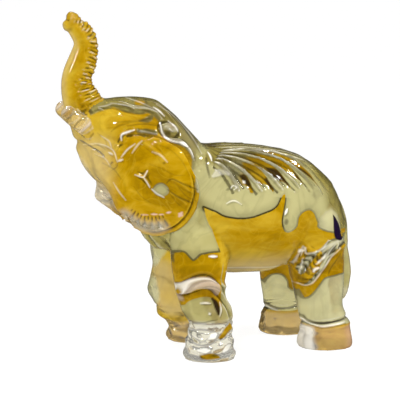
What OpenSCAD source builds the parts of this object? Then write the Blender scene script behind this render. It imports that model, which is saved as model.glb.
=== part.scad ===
// Elephant figurine in solid crystal glass, standing with its head and trunk raised.
// It is divided into the masses of glass that a glassworker shapes and fuses: the body, the head,
// the trunk, the jaw, the ears, the tusks, the legs and the tail. Neighbours meet face to face.
// Frame: +Z up, the nose towards -X, the left flank towards -Y, the origin on the ground
// under the middle of the figure.

/* [Overall] */
// Height from the ground to the tip of the trunk
figure_h = 121; // [90:1:200]

/* [Body] */
// Length of the body from chest to rump
body_l = 70; // [68:1:75]
// Width of the body at its widest
body_w = 47; // [42:1:52]
// Height of the back above the ground
back_h = 74; // [71:1:76]
// Height of the belly above the ground
belly_h = 27; // [25:1:29]
// Number of raised flutes that fan out from the nape on each side of the back
flutes = 6; // [5:1:7]
// Width of a flute at its middle
flute_w = 3.6; // [3:0.2:4.4]

/* [Head] */
// Length of the head from the nape to the brow
head_l = 42; // [40:1:44]
// Width of the head across the cheeks
head_w = 34; // [31:1:37]
// Length of the lower jaw
jaw_l = 20; // [18:1:22]
// Angle by which the head is turned to its right
head_turn = 14; // [10:1:18]
// Diameter of an eye
eye_d = 4; // [3:0.2:5]
// How far a cheek stands out from the middle of the head
cheek_w = 17.5; // [16.5:0.25:18.5]
// Thickness of the brow, and of the folds behind it
brow_d = 2.4; // [2:0.2:3]

/* [Ears] */
// Height of an ear
ear_h = 35; // [32:1:38]
// Length of an ear from its front edge to its back edge
ear_l = 33; // [30:1:36]
// Thickness of an ear at its middle
ear_t = 5; // [4:0.5:6]
// Angle by which an ear stands out from the head
ear_flare = 20; // [14:1:26]
// Number of scallops round the edge of an ear
scallops = 28; // [20:1:32]

/* [Trunk] */
// Diameter of the trunk where it leaves the head
trunk_root_d = 14; // [12:0.5:15]
// Diameter of the trunk behind its tip
trunk_tip_d = 8.6; // [7.5:0.1:9.5]
// Number of creases across the front of the trunk
trunk_creases = 22; // [14:1:26]
// Depth of a trunk crease
crease_depth = 0.35; // [0.1:0.05:0.5]

/* [Tusks] */
// Length of a tusk, with its root inside the cheek
tusk_l = 14; // [12.5:0.5:16]
// Diameter of a tusk
tusk_d = 6.4; // [5:0.2:7]

/* [Legs] */
// Distance between the fore feet and the hind feet
stance_l = 46; // [42:1:48]
// Distance between the left feet and the right feet
stance_w = 31; // [28:1:33]
// Diameter of a foot at the ground
foot_d = 18; // [16:0.5:19]
// Height of a foot, up to the crease above its rim
foot_h = 7; // [5:0.5:9]
// Diameter of an ankle
ankle_d = 15; // [13:0.5:16]
// Thickness of the roll of glass above the knee of a fore leg
knee_roll_d = 4.2; // [3.4:0.2:5]
// Thickness of the folds across the thigh of a hind leg
thigh_fold_d = 2.8; // [2.2:0.2:3.4]

/* [Tail] */
// Thickness of the tail
tail_d = 5; // [4.4:0.2:6]

/* [Hidden] */

// The figure is drawn 121 mm high about the middle of its stance, then scaled and centred
drawn_h = 121;
mid_x = 15.52;

glass = [0.80, 0.62, 0.20, 0.6];
clear_glass = [0.86, 0.85, 0.66, 0.5];

// Unit vector along v
function unit(v) = v / norm(v);

// Smooth curve through a list of stations, where u runs from 0 to the last index
function along(list, u) =
    let (
        last = len(list) - 1,
        i = min(floor(u), last - 1),
        f = u - i,
        a = list[max(i - 1, 0)],
        b = list[i],
        c = list[i + 1],
        d = list[min(i + 2, last)]
    )
    (2 * b + (c - a) * f + (2 * a - 5 * b + 4 * c - d) * f ^ 2
        + (3 * b - a - 3 * c + d) * f ^ 3) / 2;

// A station is [x, y, z, half size along the side vector, half size across it]
function centre(s) = [s[0], s[1], s[2]];

// Direction of the curve at u
function heading(list, u) =
    let (
        step = 0.02,
        last = len(list) - 1
    )
    unit(centre(along(list, min(u + step, last))) - centre(along(list, max(u - step, 0))));

// Flat relief, for a loft with a plain surface
plain = function (u, angle) 0;

// Rings of a loft through the stations. Each end closes in a dome of the given depth, or flat
// where the depth is 0. The relief is added to the radius in millimetres.
function loft_rings(list, side, sides, rings, dome, relief) =
    let (
        last = len(list) - 1,
        cap = 3,
        body = [for (j = [0:rings]) [last * j / rings, 0, 1]],
        start = dome[0] > 0
            ? [for (j = [0:cap - 1]) let (t = 90 * j / cap) [0, -cos(t), max(sin(t), 0.04)]] : [],
        end = dome[1] > 0
            ? [for (j = [cap - 1:-1:0]) let (t = 90 * j / cap) [last, cos(t), max(sin(t), 0.04)]] : []
    )
    [
        for (row = concat(start, body, end))
            let (
                u = row[0],
                s = along(list, u),
                ahead = heading(list, u),
                across = unit(side - (side * ahead) * ahead),
                up = cross(across, ahead),
                shift = ahead * row[1] * (row[1] < 0 ? dome[0] : dome[1])
            )
            [
                for (i = [0:sides - 1])
                    let (
                        angle = 360 * i / sides,
                        lift = row[2] * relief(u, angle)
                    )
                    centre(s) + shift
                        + across * (s[3] * row[2] + lift) * cos(angle)
                        + up * (s[4] * row[2] + lift) * sin(angle)
            ]
    ];

// Solid skin over rings of points, with a flat cap at each end
module skin(rings) {
    n = len(rings[0]);
    last = len(rings) - 1;
    walls = [
        for (j = [0:last - 1], i = [0:n - 1])
            let (
                a = j * n + i,
                b = j * n + (i + 1) % n
            )
            each [[a, b, b + n], [a, b + n, a + n]]
    ];
    caps = [[for (i = [n - 1:-1:0]) i], [for (i = [0:n - 1]) last * n + i]];
    polyhedron([for (r = rings) each r], concat(walls, caps), convexity = 6);
}

module loft(list, side = [0, 1, 0], sides = 24, rings = 16, dome = [0, 0], relief = plain)
    skin(loft_rings(list, side, sides, rings, dome, relief));

// Fold of glass along a list of points, half sunk in the surface and thick in the middle
module fold(points, thick, side) {
    last = len(points) - 1;
    stations = [
        for (i = [0:last])
            let (
                r = thick / 2 * (0.4 + 0.6 * sin(180 * i / last))
            )
            [points[i][0], points[i][1], points[i][2], r, r]
    ];
    loft(stations, side = side, sides = 6, rings = max(last, 7));
}

module figure() {
    k = figure_h / drawn_h;
    translate([mid_x * k, 0, 0]) scale(k) children();
}

// Torso: shares of the body's length, its width, and the lines of its back and belly
chest_x = -36;
torso_lines = [
    [0.00, 0.50, 0.82, 1.35],
    [0.11, 0.77, 0.96, 1.12],
    [0.28, 0.95, 1.00, 1.03],
    [0.50, 0.99, 0.985, 0.98],
    [0.67, 0.91, 0.955, 0.98],
    [0.81, 0.76, 0.87, 1.00],
    [0.92, 0.59, 0.755, 1.07],
    [1.00, 0.40, 0.63, 1.22]
];
torso_stations = [
    for (row = torso_lines)
        let (
            top = row[2] * back_h,
            bottom = row[3] * belly_h
        )
        [chest_x + row[0] * body_l, 0, (top + bottom) / 2, row[1] * body_w / 2, (top - bottom) / 2]
];

module torso_form() loft(torso_stations, sides = 32, rings = 18, dome = [6, 3.4]);

// Point of the torso's surface at u, by the angle from the top of the back towards one side
function on_torso(u, from_top, hand) =
    let (
        s = along(torso_stations, u)
    )
    [s[0], hand * s[3] * sin(from_top), s[2] + s[4] * cos(from_top)];

// The flutes leave the nape close together, run back and turn down the flank one after another.
// Each place is given for the first flute and for the last: along the body, and from the top of the back.
nape_u = [1.7, 2.05];
nape_angle = [38, 23];
end_u = [2.2, 5.45];
end_angle = [70, 56];
function between(pair, share) = pair[0] + (pair[1] - pair[0]) * share;
function flute_stations(k, hand) =
    let (
        rank = k / (flutes - 1),
        turn_late = 1.6 + 1.9 * rank ^ 3
    )
    [
        for (t = [0:0.2:1])
            let (
                r = flute_w / 2 * (0.35 + 0.65 * sin(180 * t ^ 0.8)),
                u = between([between(nape_u, rank), between(end_u, rank ^ 1.1)], t),
                angle = between([between(nape_angle, rank), between(end_angle, rank ^ 2)], t ^ turn_late),
                p = on_torso(u, angle, hand)
            )
            [p[0], p[1], p[2] - 0.4 * r, r, r]
    ];

module flutes_form()
    for (hand = [-1, 1], k = [0:flutes - 1])
        loft(flute_stations(k, hand), side = [0.3, 1, 0.2], sides = 6, rings = 7);

module torso() color(glass) figure() {
    torso_form();
    flutes_form();
}

// The head turns about an upright line through the neck, with all that it carries
neck_x = -22;
module turned()
    translate([neck_x, 0, 0]) rotate([0, 0, -head_turn]) translate([-neck_x, 0, 0]) children();

// Head: a raised mass from inside the shoulders to the brow
head_stations = [
    [-17, 0, 59, head_w * 0.34, 10.4],
    [-30, 0, 66.4, head_w * 0.46, 15.2],
    [-42, 0, 73.4, head_w * 0.50, 18.4],
    [-52, 0, 79.6, head_w * 0.43, 13.9],
    [-16.5 - head_l, 0, 84, head_w * 0.31, 8.2]
];
eye = [-48.5, 14.6, 77.5];

module head_form() turned() {
    loft(head_stations, sides = 26, rings = 13, dome = [4, 5]);
    for (hand = [-1, 1])
        translate([eye[0], hand * eye[1], eye[2]]) sphere(d = eye_d, $fn = 18);
}

// Cheeks: full below the eyes, from beside the mouth back to the throat
function cheek_stations(hand) = [
    [-54.6, hand * (cheek_w - 10), 72, 5.5, 5.5],
    [-51.4, hand * (cheek_w - 8.8), 68, 8, 8],
    [-46, hand * (cheek_w - 8.5), 63.6, 8.5, 9],
    [-39, hand * (cheek_w - 8.5), 60, 8, 8]
];

module cheeks_form()
    turned() for (hand = [-1, 1]) loft(cheek_stations(hand), sides = 14, rings = 5, dome = [3, 3]);

// The brow runs over the eye, the temple swells behind it and a fold runs down behind the temple
brow_line = [[-51.4, 14.6, 77], [-49.4, 15.3, 79.9], [-46, 15.2, 81.4], [-42, 14.4, 82]];
temple_line = [[-36.6, 13.2, 81.4], [-34.4, 13.2, 81.5], [-31.6, 12.7, 81.1], [-28.6, 11.4, 79.8]];
temple_swell = 1.8;
neck_line = [[-34.4, 15, 77.6], [-30, 13.9, 77], [-27, 13.3, 74.9], [-25, 13.4, 72], [-23.4, 13.2, 69]];

// Points of one side of a head that is 34 mm wide, put on the side that hand gives
function on_side(points, hand) = [for (p = points) [p[0], hand * p[1] * head_w / 34, p[2]]];

module head_folds()
    turned()
        for (hand = [-1, 1]) {
            fold(on_side(brow_line, hand), brow_d, [0, 1, 0]);
            fold(on_side(temple_line, hand), brow_d * temple_swell, [0, 1, 0]);
            fold(on_side(neck_line, hand), brow_d, [0, 1, 0]);
        }

// The cheeks stop at the jaw, the tusks and the trunk
module head() color(glass) figure() difference() {
    union() {
        head_form();
        head_folds();
        difference() {
            cheeks_form();
            jaw_form();
            for (hand = [-1, 1]) tusk_form(hand);
            trunk_form();
        }
    }
    torso_form();
}

// Trunk: rises from the face in an S and curls forward at its tip
trunk_r = trunk_root_d / 2;
tip_r = trunk_tip_d / 2;
trunk_stations = [
    [-56.5, 0, 80, trunk_r * 1.2, trunk_r * 1.2],
    [-61.6, 0, 91, trunk_r, trunk_r * 0.96],
    [-63.2, 0, 97.2, trunk_r * 0.77, trunk_r * 0.76],
    [-61.3, 0, 102.4, trunk_r * 0.74, trunk_r * 0.76],
    [-59.8, 0, 107.2, tip_r * 1.10, tip_r * 1.10],
    [-59.6, 0, 111, tip_r, tip_r],
    [-61.5, 0, 114.7, tip_r * 0.95, tip_r * 0.94],
    [-64.1, 0, 117.4, tip_r * 0.82, tip_r * 0.78],
    [-65.6, 0, 118.45, tip_r * 0.90, tip_r * 0.71]
];
// The creases lie on the front of the trunk, which faces back over the head
crease_from = 0.9;
crease = function (u, angle)
    let (
        share = u / (len(trunk_stations) - 1),
        front = max(0, sin(angle) + 0.25),
        fade = min(1, 5 * (1 - share), 4 * max(0, u - crease_from))
    )
    crease_depth * fade * front * cos(360 * trunk_creases * share);

module trunk_form()
    turned() loft(trunk_stations, sides = 14, rings = 2 * trunk_creases, dome = [0, 1.4], relief = crease);

module trunk() color(glass) figure() difference() {
    trunk_form();
    head_form();
}

// Lower jaw: a pointed lip under the open mouth
jaw_stations = [
    [-60.5 + jaw_l * 0.7, 0, 63.8, 10.5, 7],
    [-60.5 + jaw_l * 0.4, 0, 66.2, 9.5, 6.2],
    [-60.5 + jaw_l * 0.15, 0, 70, 7, 4.8],
    [-60.5, 0, 73.6, 4, 3]
];

module jaw_form() turned() loft(jaw_stations, sides = 18, rings = 8, dome = [0, 3]);

module lower_jaw() color(glass) figure() difference() {
    jaw_form();
    head_form();
    trunk_form();
}

// Tusks: short and blunt, out of the cheeks and up beside the trunk
tusk_root = [-56, 7.6, 77.8];
tusk_rise = 36;
tusk_spread = 3;
function tusk_stations(hand) = [
    for (share = [0, 0.35, 0.7, 1])
        let (
            run = tusk_l * share,
            r = tusk_d / 2 * (1.04 - 0.22 * share ^ 2)
        )
        [
            tusk_root[0] - run * cos(tusk_rise),
            hand * (tusk_root[1] + run * sin(tusk_spread)),
            tusk_root[2] + run * sin(tusk_rise) + 0.8 * share ^ 2,
            r,
            r
        ]
];

module tusk_form(hand)
    turned() loft(tusk_stations(hand), sides = 14, rings = 5, dome = [0, 2]);

module tusk(hand) color(clear_glass) figure() difference() {
    tusk_form(hand);
    head_form();
    trunk_form();
    jaw_form();
}

module left_tusk() tusk(-1);
module right_tusk() tusk(1);

// Ears: thick fans with a scalloped lower edge, standing out behind the cheeks
ear_root = [-40.2, 20, 61];
ear_lean = 8;
// Outline of an ear as shares of its half sizes, by the angle from its back edge
function ear_edge(angle) =
    let (
        fold = 0.035 * max(0, -sin(angle - 15)) * cos(scallops * angle),
        lobe = 1 + 0.10 * sin(angle + 120) ^ 2
    )
    lobe + fold;

// Rows from the middle of the outer face over the edge to the middle of the inner face
function ear_rows(sides, rows) = [
    for (j = [0:rows])
        let (
            t = -90 + 180 * j / rows,
            reach = max(0.02, cos(t) ^ 0.6),
            level = sin(t) * ear_t / 2
        )
        [
            for (i = [0:sides - 1])
                let (
                    angle = 360 * i / sides,
                    r = reach * ear_edge(angle),
                    dish = 3.2 * r ^ 2
                )
                [ear_l / 2 * r * cos(angle), level - dish, ear_h / 2 * r * sin(angle)]
        ]
];

module ear_form(hand)
    turned()
        mirror([0, hand < 0 ? 1 : 0, 0])
            translate(ear_root)
                rotate([-ear_lean, 0, ear_flare])
                    skin(ear_rows(2 * scallops, 6));

module ear(hand) color(glass) figure() difference() {
    ear_form(hand);
    head_form();
    head_folds();
    cheeks_form();
    torso_form();
    jaw_form();
}

module left_ear() ear(-1);
module right_ear() ear(1);

// Legs
foot_r = foot_d / 2;
ankle_r = ankle_d / 2;
// A leg runs from its sole through the ankle, the knee and the hip to its root inside the body
function leg_stations(foot, ankle, knee, hip, root, stout = 1) =
    let (
        f = foot_r * stout,
        a = ankle_r * stout
    )
    [
        [foot[0], foot[1], 0, f * 0.97, f * 0.97],
        [foot[0], foot[1], foot_h * 0.35, f, f],
        [foot[0], foot[1], foot_h, f * 0.90, f * 0.90],
        [ankle[0], ankle[1], ankle[2], a, a],
        [knee[0], knee[1], knee[2], a * 1.20, a * 1.16],
        [hip[0], hip[1], hip[2], ankle_r * 1.30, ankle_r * 1.50],
        [root[0], root[1], root[2], ankle_r * 1.10, ankle_r * 1.45]
    ];

fore_x = -stance_l / 2;
hind_x = stance_l / 2;
left_y = -stance_w / 2;
right_y = stance_w / 2;
left_fore = leg_stations(
    [fore_x, left_y - 1.5],
    [fore_x + 0.6, left_y - 1, 13],
    [fore_x - 3, left_y, 25],
    [-24, -11.5, 40],
    [-21, -7, 54]
);
right_fore = leg_stations(
    [fore_x + 8, right_y],
    [fore_x + 5.5, right_y, 10],
    [fore_x + 0.5, right_y, 19],
    [-21.5, 11.5, 38],
    [-21, 7, 54]
);
left_hind = leg_stations(
    [hind_x + 0.8, left_y],
    [hind_x - 1.2, left_y, 14],
    [hind_x - 2.4, left_y, 25],
    [20.5, -11.5, 39],
    [18, -7, 52],
    stout = 1.1
);
right_hind = leg_stations(
    [hind_x - 1, right_y - 1.5],
    [hind_x - 1, right_y - 1, 12],
    [hind_x - 1, right_y, 24],
    [20.5, 11.5, 39],
    [18, 7, 52]
);

module leg_form(stations) loft(stations, sides = 18, rings = 15, dome = [0, 3]);

// Point of a leg's surface at u, by the turn from its outer side towards the tail
function on_leg(stations, u, turn, hand) =
    let (
        s = along(stations, u)
    )
    [s[0] + s[4] * sin(turn), s[1] + hand * s[3] * cos(turn), s[2]];

// Roll of glass that arches over the outer side of a fore leg, a little above its knee
knee_u = 4;
roll_rise = 0.16;
function knee_roll(stations, hand) = [
    for (turn = [-84:24:60])
        on_leg(stations, knee_u + roll_rise * cos(turn) ^ 2, turn, hand)
];

// Two folds that cross the outer side of a thigh, each a list of places up the leg and turns
thigh_lines = [
    [[4.95, 72], [4.95, 38], [4.84, 4], [4.72, -24], [4.82, -56]],
    [[4.80, 64], [4.70, 32], [4.50, 0], [4.30, -30], [4.18, -62]]
];
function thigh_fold(stations, line, hand) = [for (row = line) on_leg(stations, row[0], row[1], hand)];

module leg(stations) color(glass) figure() difference() {
    union() {
        leg_form(stations);
        children();
    }
    torso_form();
}

module fore_leg(stations, hand) leg(stations) fold(knee_roll(stations, hand), knee_roll_d, [0, 0, 1]);

module hind_leg(stations, hand)
    leg(stations)
        for (line = thigh_lines) fold(thigh_fold(stations, line, hand), thigh_fold_d, [0, 0, 1]);

module left_fore_leg() fore_leg(left_fore, -1);
module right_fore_leg() fore_leg(right_fore, 1);
module left_hind_leg() hind_leg(left_hind, -1);
module right_hind_leg() hind_leg(right_hind, 1);

// Tail: hangs down the rump to a pointed tuft
tail_r = tail_d / 2;
rump_x = chest_x + body_l;
tail_stations = [
    [rump_x - 3, -1, 56.5, tail_r, tail_r],
    [rump_x + 1.2, -2, 48, tail_r * 0.9, tail_r * 0.9],
    [rump_x + 3, -3, 41, tail_r * 0.86, tail_r * 0.86],
    [rump_x + 2.3, -4.4, 33.5, tail_r * 0.84, tail_r * 0.84],
    [rump_x + 2.7, -6, 24, tail_r * 1.05, tail_r],
    [rump_x + 1.6, -7, 15.6, tail_r * 0.4, tail_r * 0.4]
];

module tail_form() loft(tail_stations, sides = 12, rings = 10, dome = [2, 1]);

module tail() color(glass) figure() difference() {
    tail_form();
    torso_form();
    leg_form(left_hind);
    leg_form(right_hind);
}

torso();
head();
trunk();
lower_jaw();
left_ear();
right_ear();
left_tusk();
right_tusk();
left_fore_leg();
right_fore_leg();
left_hind_leg();
right_hind_leg();
tail();
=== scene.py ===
import math

import bmesh
import bpy
import numpy as np
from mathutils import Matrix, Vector
from mathutils.bvhtree import BVHTree


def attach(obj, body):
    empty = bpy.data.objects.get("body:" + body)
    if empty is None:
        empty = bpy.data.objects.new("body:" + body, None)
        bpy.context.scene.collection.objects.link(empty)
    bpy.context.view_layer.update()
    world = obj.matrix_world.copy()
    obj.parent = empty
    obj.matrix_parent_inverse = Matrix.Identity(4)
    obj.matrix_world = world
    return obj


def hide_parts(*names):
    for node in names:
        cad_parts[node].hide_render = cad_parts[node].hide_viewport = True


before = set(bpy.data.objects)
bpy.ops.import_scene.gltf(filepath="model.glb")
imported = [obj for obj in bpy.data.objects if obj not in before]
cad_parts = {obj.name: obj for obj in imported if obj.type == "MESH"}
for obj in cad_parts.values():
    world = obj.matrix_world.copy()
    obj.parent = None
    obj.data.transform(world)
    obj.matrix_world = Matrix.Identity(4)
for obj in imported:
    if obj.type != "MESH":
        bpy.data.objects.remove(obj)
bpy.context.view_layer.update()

bl_info = {
    "name": "Glass elephant",
    "version": (1, 0, 0),
    "blender": (4, 5, 0),
    "location": "View3D > Sidebar > Figurine",
    "description": "A solid glass elephant with amber swirls, and the studio it stands in",
    "category": "Object",
}

NODE_NAMES = sorted(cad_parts)
HEAD_PARTS = ("head", "trunk", "lower_jaw", "left_ear", "right_ear", "left_tusk", "right_tusk")
LEGS = ("left_fore_leg", "right_fore_leg", "left_hind_leg", "right_hind_leg")

# Shapes below are in millimetres, with X from the middle of the stance, as the solids are drawn
MM_PER_M = 1000
STANCE_X = 15.52
NECK_X = -22.0
HEAD_TURN = math.radians(14)

# A distance that is more than any on the figure
FAR = 1e9

# What is painted at each point of the skin
PAINT = ("amber_mm", "tone", "outline", "deep", "clear", "shade", "gleam", "blush", "milk", "veil", "fold")

# The melted skin, from the operator that makes it to those that cut the pieces out of it
MELT = {}


def colour_property(name, description, default):
    """A colour that can be set in the sidebar."""
    return bpy.props.FloatVectorProperty(
        name=name, description=description, subtype="COLOR", size=3, default=default, min=0, max=1)


class FigurineShape(bpy.types.PropertyGroup):
    grain: bpy.props.FloatProperty(
        name="Grain", description="Size of the faces of the melted skin",
        default=0.0007, min=0.0004, max=0.002, subtype="DISTANCE", unit="LENGTH")
    rounding: bpy.props.IntProperty(
        name="Rounding", description="Rounds of fire polishing that melt the masses together",
        default=160, min=0, max=300)
    crease_depth: bpy.props.FloatProperty(
        name="Trunk creases", description="Depth of the creases across the front of the trunk",
        default=0.0005, min=0, max=0.001, subtype="DISTANCE", unit="LENGTH")
    flute_height: bpy.props.FloatProperty(
        name="Flutes", description="Height of the sharp ridges on the back",
        default=0.0009, min=0, max=0.0015, subtype="DISTANCE", unit="LENGTH")
    pleat_depth: bpy.props.FloatProperty(
        name="Ear pleats", description="Depth of the pleats at the lower edge of an ear",
        default=0.0005, min=0, max=0.001, subtype="DISTANCE", unit="LENGTH")


class FigurineGlass(bpy.types.PropertyGroup):
    amber: colour_property("Amber", "Colour of the amber swirls", (0.48, 0.27, 0.0006))
    honey: colour_property("Honey", "Colour of the lighter amber", (0.66, 0.44, 0.03))
    cognac: colour_property("Cognac", "Colour of the darker amber", (0.33, 0.18, 0.0005))
    straw: colour_property("Straw", "Colour of the pale glass", (0.62, 0.58, 0.28))
    # Olive also colours the painted shade in the grooves and at the figure's edges
    olive: colour_property("Olive", "Colour of the dark edges of the swirls", (0.03, 0.022, 0.002))
    moss: colour_property("Moss", "Colour of the pale glass where it is deepest", (0.34, 0.28, 0.06))
    clear: colour_property("Clear", "Colour of the clear glass", (0.94, 0.92, 0.85))
    inner: colour_property("Inner", "Colour of the surface seen from inside the glass", (0.92, 0.90, 0.80))
    umber: colour_property("Umber", "Colour of the darkest places", (0.03, 0.017, 0.006))
    ink: colour_property("Ink", "Colour of the blue-black place on the rump", (0.010, 0.004, 0.020))
    blush: colour_property("Blush", "Colour of the rosy places", (0.80, 0.42, 0.40))
    # Gleam colours the painted highlights along the folds and crests
    gleam: colour_property("Gleam", "Colour of the white veils along the folds", (0.95, 0.93, 0.86))
    roughness: bpy.props.FloatProperty(
        name="Roughness", description="Roughness of the polished surface",
        default=0.02, min=0, max=1, subtype="FACTOR")
    ior: bpy.props.FloatProperty(
        name="Index of refraction", description="How strongly the glass bends light",
        default=1.5, min=1, max=2)


class FigurineStage(bpy.types.PropertyGroup):
    floor: colour_property("Floor", "Colour of the floor", (0.85, 0.85, 0.83))
    reflected: colour_property(
        "Reflected floor", "Colour of the floor as the glass mirrors it", (0.08, 0.08, 0.06))
    key: bpy.props.FloatProperty(
        name="Key lamp", description="Power of the lamp above the head", default=2.6, min=0,
        unit="POWER")
    lens: bpy.props.FloatProperty(
        name="Lens", description="Focal length of the camera", default=197.3, min=20,
        subtype="DISTANCE_CAMERA")


class Socket:
    """A node's output that Python's operators can work on, or a node tree to add nodes to."""

    def __init__(self, tree, value=None):
        self.tree = tree
        self.value = value

    def link(self, target, value):
        """Sets a socket to a number or a colour, or links another socket to it."""
        value = value.value if isinstance(value, Socket) else value
        if isinstance(value, bpy.types.NodeSocket):
            self.tree.links.new(value, target)
        elif hasattr(target.default_value, "__len__") and len(value) < len(target.default_value):
            target.default_value = (*value, 1)
        else:
            target.default_value = value

    def node(self, kind, settings=None, output=0, **sockets):
        """Adds a node, with its settings first, and then the values or links of its sockets."""
        node = self.tree.nodes.new("ShaderNode" + kind)
        for name, value in (settings or {}).items():
            setattr(node, name, value)
        for name, value in sockets.items():
            key = int(name[1:]) if name[1:].isdigit() else name.replace("_", " ")
            self.link(node.inputs[key], value)
        return Socket(self.tree, node.outputs[output])

    def math(self, operation, *values):
        """Adds a Math node that works on some values."""
        sockets = {f"i{index}": value for index, value in enumerate(values)}
        return self.node("Math", {"operation": operation}, **sockets)

    def __add__(self, other):
        return self.math("ADD", self, other)

    def __sub__(self, other):
        return self.math("SUBTRACT", self, other)

    def __rsub__(self, other):
        return self.math("SUBTRACT", other, self)

    def __mul__(self, other):
        return self.math("MULTIPLY", self, other)

    __radd__ = __add__
    __rmul__ = __mul__

    def most(self, other):
        """The larger of two values."""
        return self.math("MAXIMUM", self, other)

    def rise(self, low, high):
        """0 below low, 1 above high and smooth between them."""
        return self.node("MapRange", {"interpolation_type": "SMOOTHSTEP"},
                         i0=self, i1=low, i2=high, i3=0.0, i4=1.0)

    def mix_value(self, first, second):
        """Two values, mixed by this one."""
        return self.node("Mix", {"data_type": "FLOAT"}, i0=self, i2=first, i3=second)

    def mix(self, first, second):
        """Two colours, mixed by this value."""
        return self.node("Mix", {"data_type": "RGBA"}, output=2, i0=self, i6=first, i7=second)


def new_material(name):
    """An empty material, its node tree and its output."""
    material = bpy.data.materials.new(name)
    material.use_nodes = True
    material.node_tree.nodes.clear()
    output = material.node_tree.nodes.new("ShaderNodeOutputMaterial")
    return material, Socket(material.node_tree), output.inputs["Surface"]


# How strongly the dark streaks, hazes and lines show, the painted shade in grooves, the painted highlights on
# crests, and the light veins
STREAK, HAZE, GROOVE_SHADE, LINE, CREST_HIGHLIGHT, VEIN = 0.1, 0.3, 0.65, 0.95, 0.3, 0.2
# Painted shade at the figure's edges: how much darker pale glass is painted there, and how much less of that
# amber glass has
EDGE_SHADE, EDGE_SHADE_LESS = 0.5, 0.35
# How wavy the edges of the swirls are, in millimetres
EDGE_WAVE = 0.7


def glass_noise(nodes):
    """The uneven patterns of the glass: fine grain, broad swirls, threads along the body, and veins."""
    place = nodes.node("TexCoord", output="Object")
    grain = nodes.node("TexNoise", {}, Vector=place, Scale=160.0, Detail=2.0)
    swirl = nodes.node("TexNoise", {}, Vector=place, Scale=55.0, Detail=3.0, Distortion=1.6)
    flow = nodes.node("Mapping", {}, Vector=place, Scale=(0.35, 1.0, 1.0), Rotation=(0.0, 0.5, 0.0))
    thread = nodes.node("TexNoise", {}, Vector=flow, Scale=210.0, Detail=3.0, Distortion=1.2)
    striae = nodes.node("TexNoise", {}, Vector=place, Scale=75.0, Detail=1.0, Distortion=2.2)
    vein = striae.rise(0.46, 0.5) * (1 - striae.rise(0.5, 0.54))
    return grain, swirl, thread, vein


def glass_material(glass):
    """Polished glass: pale straw with milky amber swirls just under the surface, edged in olive, with painted
    shade in its grooves and at the figure's edges and painted highlights on its crests.
    """
    material, nodes, surface = new_material("amber_glass")
    grain, swirl, thread, vein = glass_noise(nodes)
    outside = 1 - nodes.node("NewGeometry", output="Backfacing")
    # Painted shade: the glass is darkened towards the figure's edges, where its surface turns away from the
    # view
    edge = nodes.node("LayerWeight", output="Facing", Blend=0.5).rise(0.45, 1.0)
    amber_mm, tone, outline, deep, clear, shade, gleam, blush, milk, veil, fold = (
        nodes.node("Attribute", {"attribute_name": name}, output="Fac") for name in PAINT)
    # Where the amber is, the dark line along its edge, and the haze just outside it
    edge_mm = amber_mm + (grain - 0.5) * EDGE_WAVE
    amber = edge_mm.rise(-0.2, 0.2)
    line = (1 - edge_mm.rise(0.0, 0.3)) * edge_mm.rise(-0.7, -0.3) * outline
    haze = edge_mm.rise(-4.0, 0.0) * (1 - amber) * outline
    # The amber from cognac to honey, and the pale glass from straw to moss
    warmth = tone + (swirl - 0.5) * 1.2 + (thread - 0.5) * 1.5
    warm = warmth.rise(0.0, 1.0).mix(glass.amber, glass.honey)
    warm = (1 - warmth.rise(-0.4, 0.25)).mix(warm, glass.cognac)
    pale = (deep + (swirl - 0.5) * 0.5).rise(0.0, 1.0).mix(glass.straw, glass.moss)
    colour = amber.mix(pale, warm)
    # Dark streaks, painted shade in the grooves and at the figure's edges, painted highlights on the crests,
    # and light veins
    streak = swirl.rise(0.44, 0.5) * (1 - swirl.rise(0.5, 0.56))
    crest = fold.rise(0.3, 1.0)
    groove = (0 - fold).rise(0.2, 0.9)
    colour = (streak * STREAK + haze * HAZE + groove * GROOVE_SHADE).mix(colour, glass.olive)
    colour = (line * LINE).mix(colour, glass.olive)
    colour = (edge * (EDGE_SHADE - amber * EDGE_SHADE_LESS)).mix(colour, glass.olive)
    colour = (crest * CREST_HIGHLIGHT + vein * amber * VEIN).mix(colour, amber.mix(glass.clear, glass.honey))
    # What is painted over all of that
    colour = clear.mix(colour, glass.clear)
    colour = blush.mix(colour, glass.blush)
    colour = shade.mix(colour, (shade - 1).rise(0.0, 1.0).mix(glass.umber, glass.ink))
    # Painted highlights along the folds, crests and rims
    colour = gleam.mix(colour, glass.gleam)
    colour = outside.mix(glass.inner, colour)
    # The shader tints light by the square root of its colour at each surface, so the colour is squared first
    through = nodes.node("VectorMath", {"operation": "MULTIPLY"}, i0=colour, i1=colour)
    bump = nodes.node("Bump", {}, Height=swirl, Strength=0.04, Distance=0.002)
    limpid = nodes.node("BsdfPrincipled", {}, Base_Color=through, Roughness=glass.roughness,
                        IOR=glass.ior, Transmission_Weight=1.0, Specular_IOR_Level=0.25, Normal=bump)
    milky = nodes.node("BsdfPrincipled", {}, Base_Color=colour, Roughness=glass.roughness,
                       IOR=glass.ior, Specular_IOR_Level=0.15, Normal=bump)
    cloud = (amber.mix_value(veil, milk) * (1 - clear)).most(gleam).most(shade).most(line) * outside
    nodes.link(surface, nodes.node("MixShader", {}, i0=cloud, i1=limpid, i2=milky))
    return material


def seam_material():
    """The inside faces where two pieces of the same glass run into each other, which don't show."""
    material, nodes, surface = new_material("seam")
    nodes.link(surface, nodes.node("BsdfPrincipled", {}, Alpha=0.0))
    return material


def seen_rays(nodes, *kinds):
    """1 for the given kinds of rays, and 0 for the others."""
    path = nodes.node("LightPath").value.node
    total = sum(Socket(nodes.tree, path.outputs[kind]) for kind in kinds)
    return total.math("MINIMUM", total, 1.0)


# Distances from the figure over which the floor fades to plain white, and at both of them how bright the
# white is and how much of the floor it covers
FLOOR_FADE, WHITE_STRENGTH, WHITE_SHARE = (0.1, 0.35), (1.1, 1.01), (0.8, 0.99)


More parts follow.
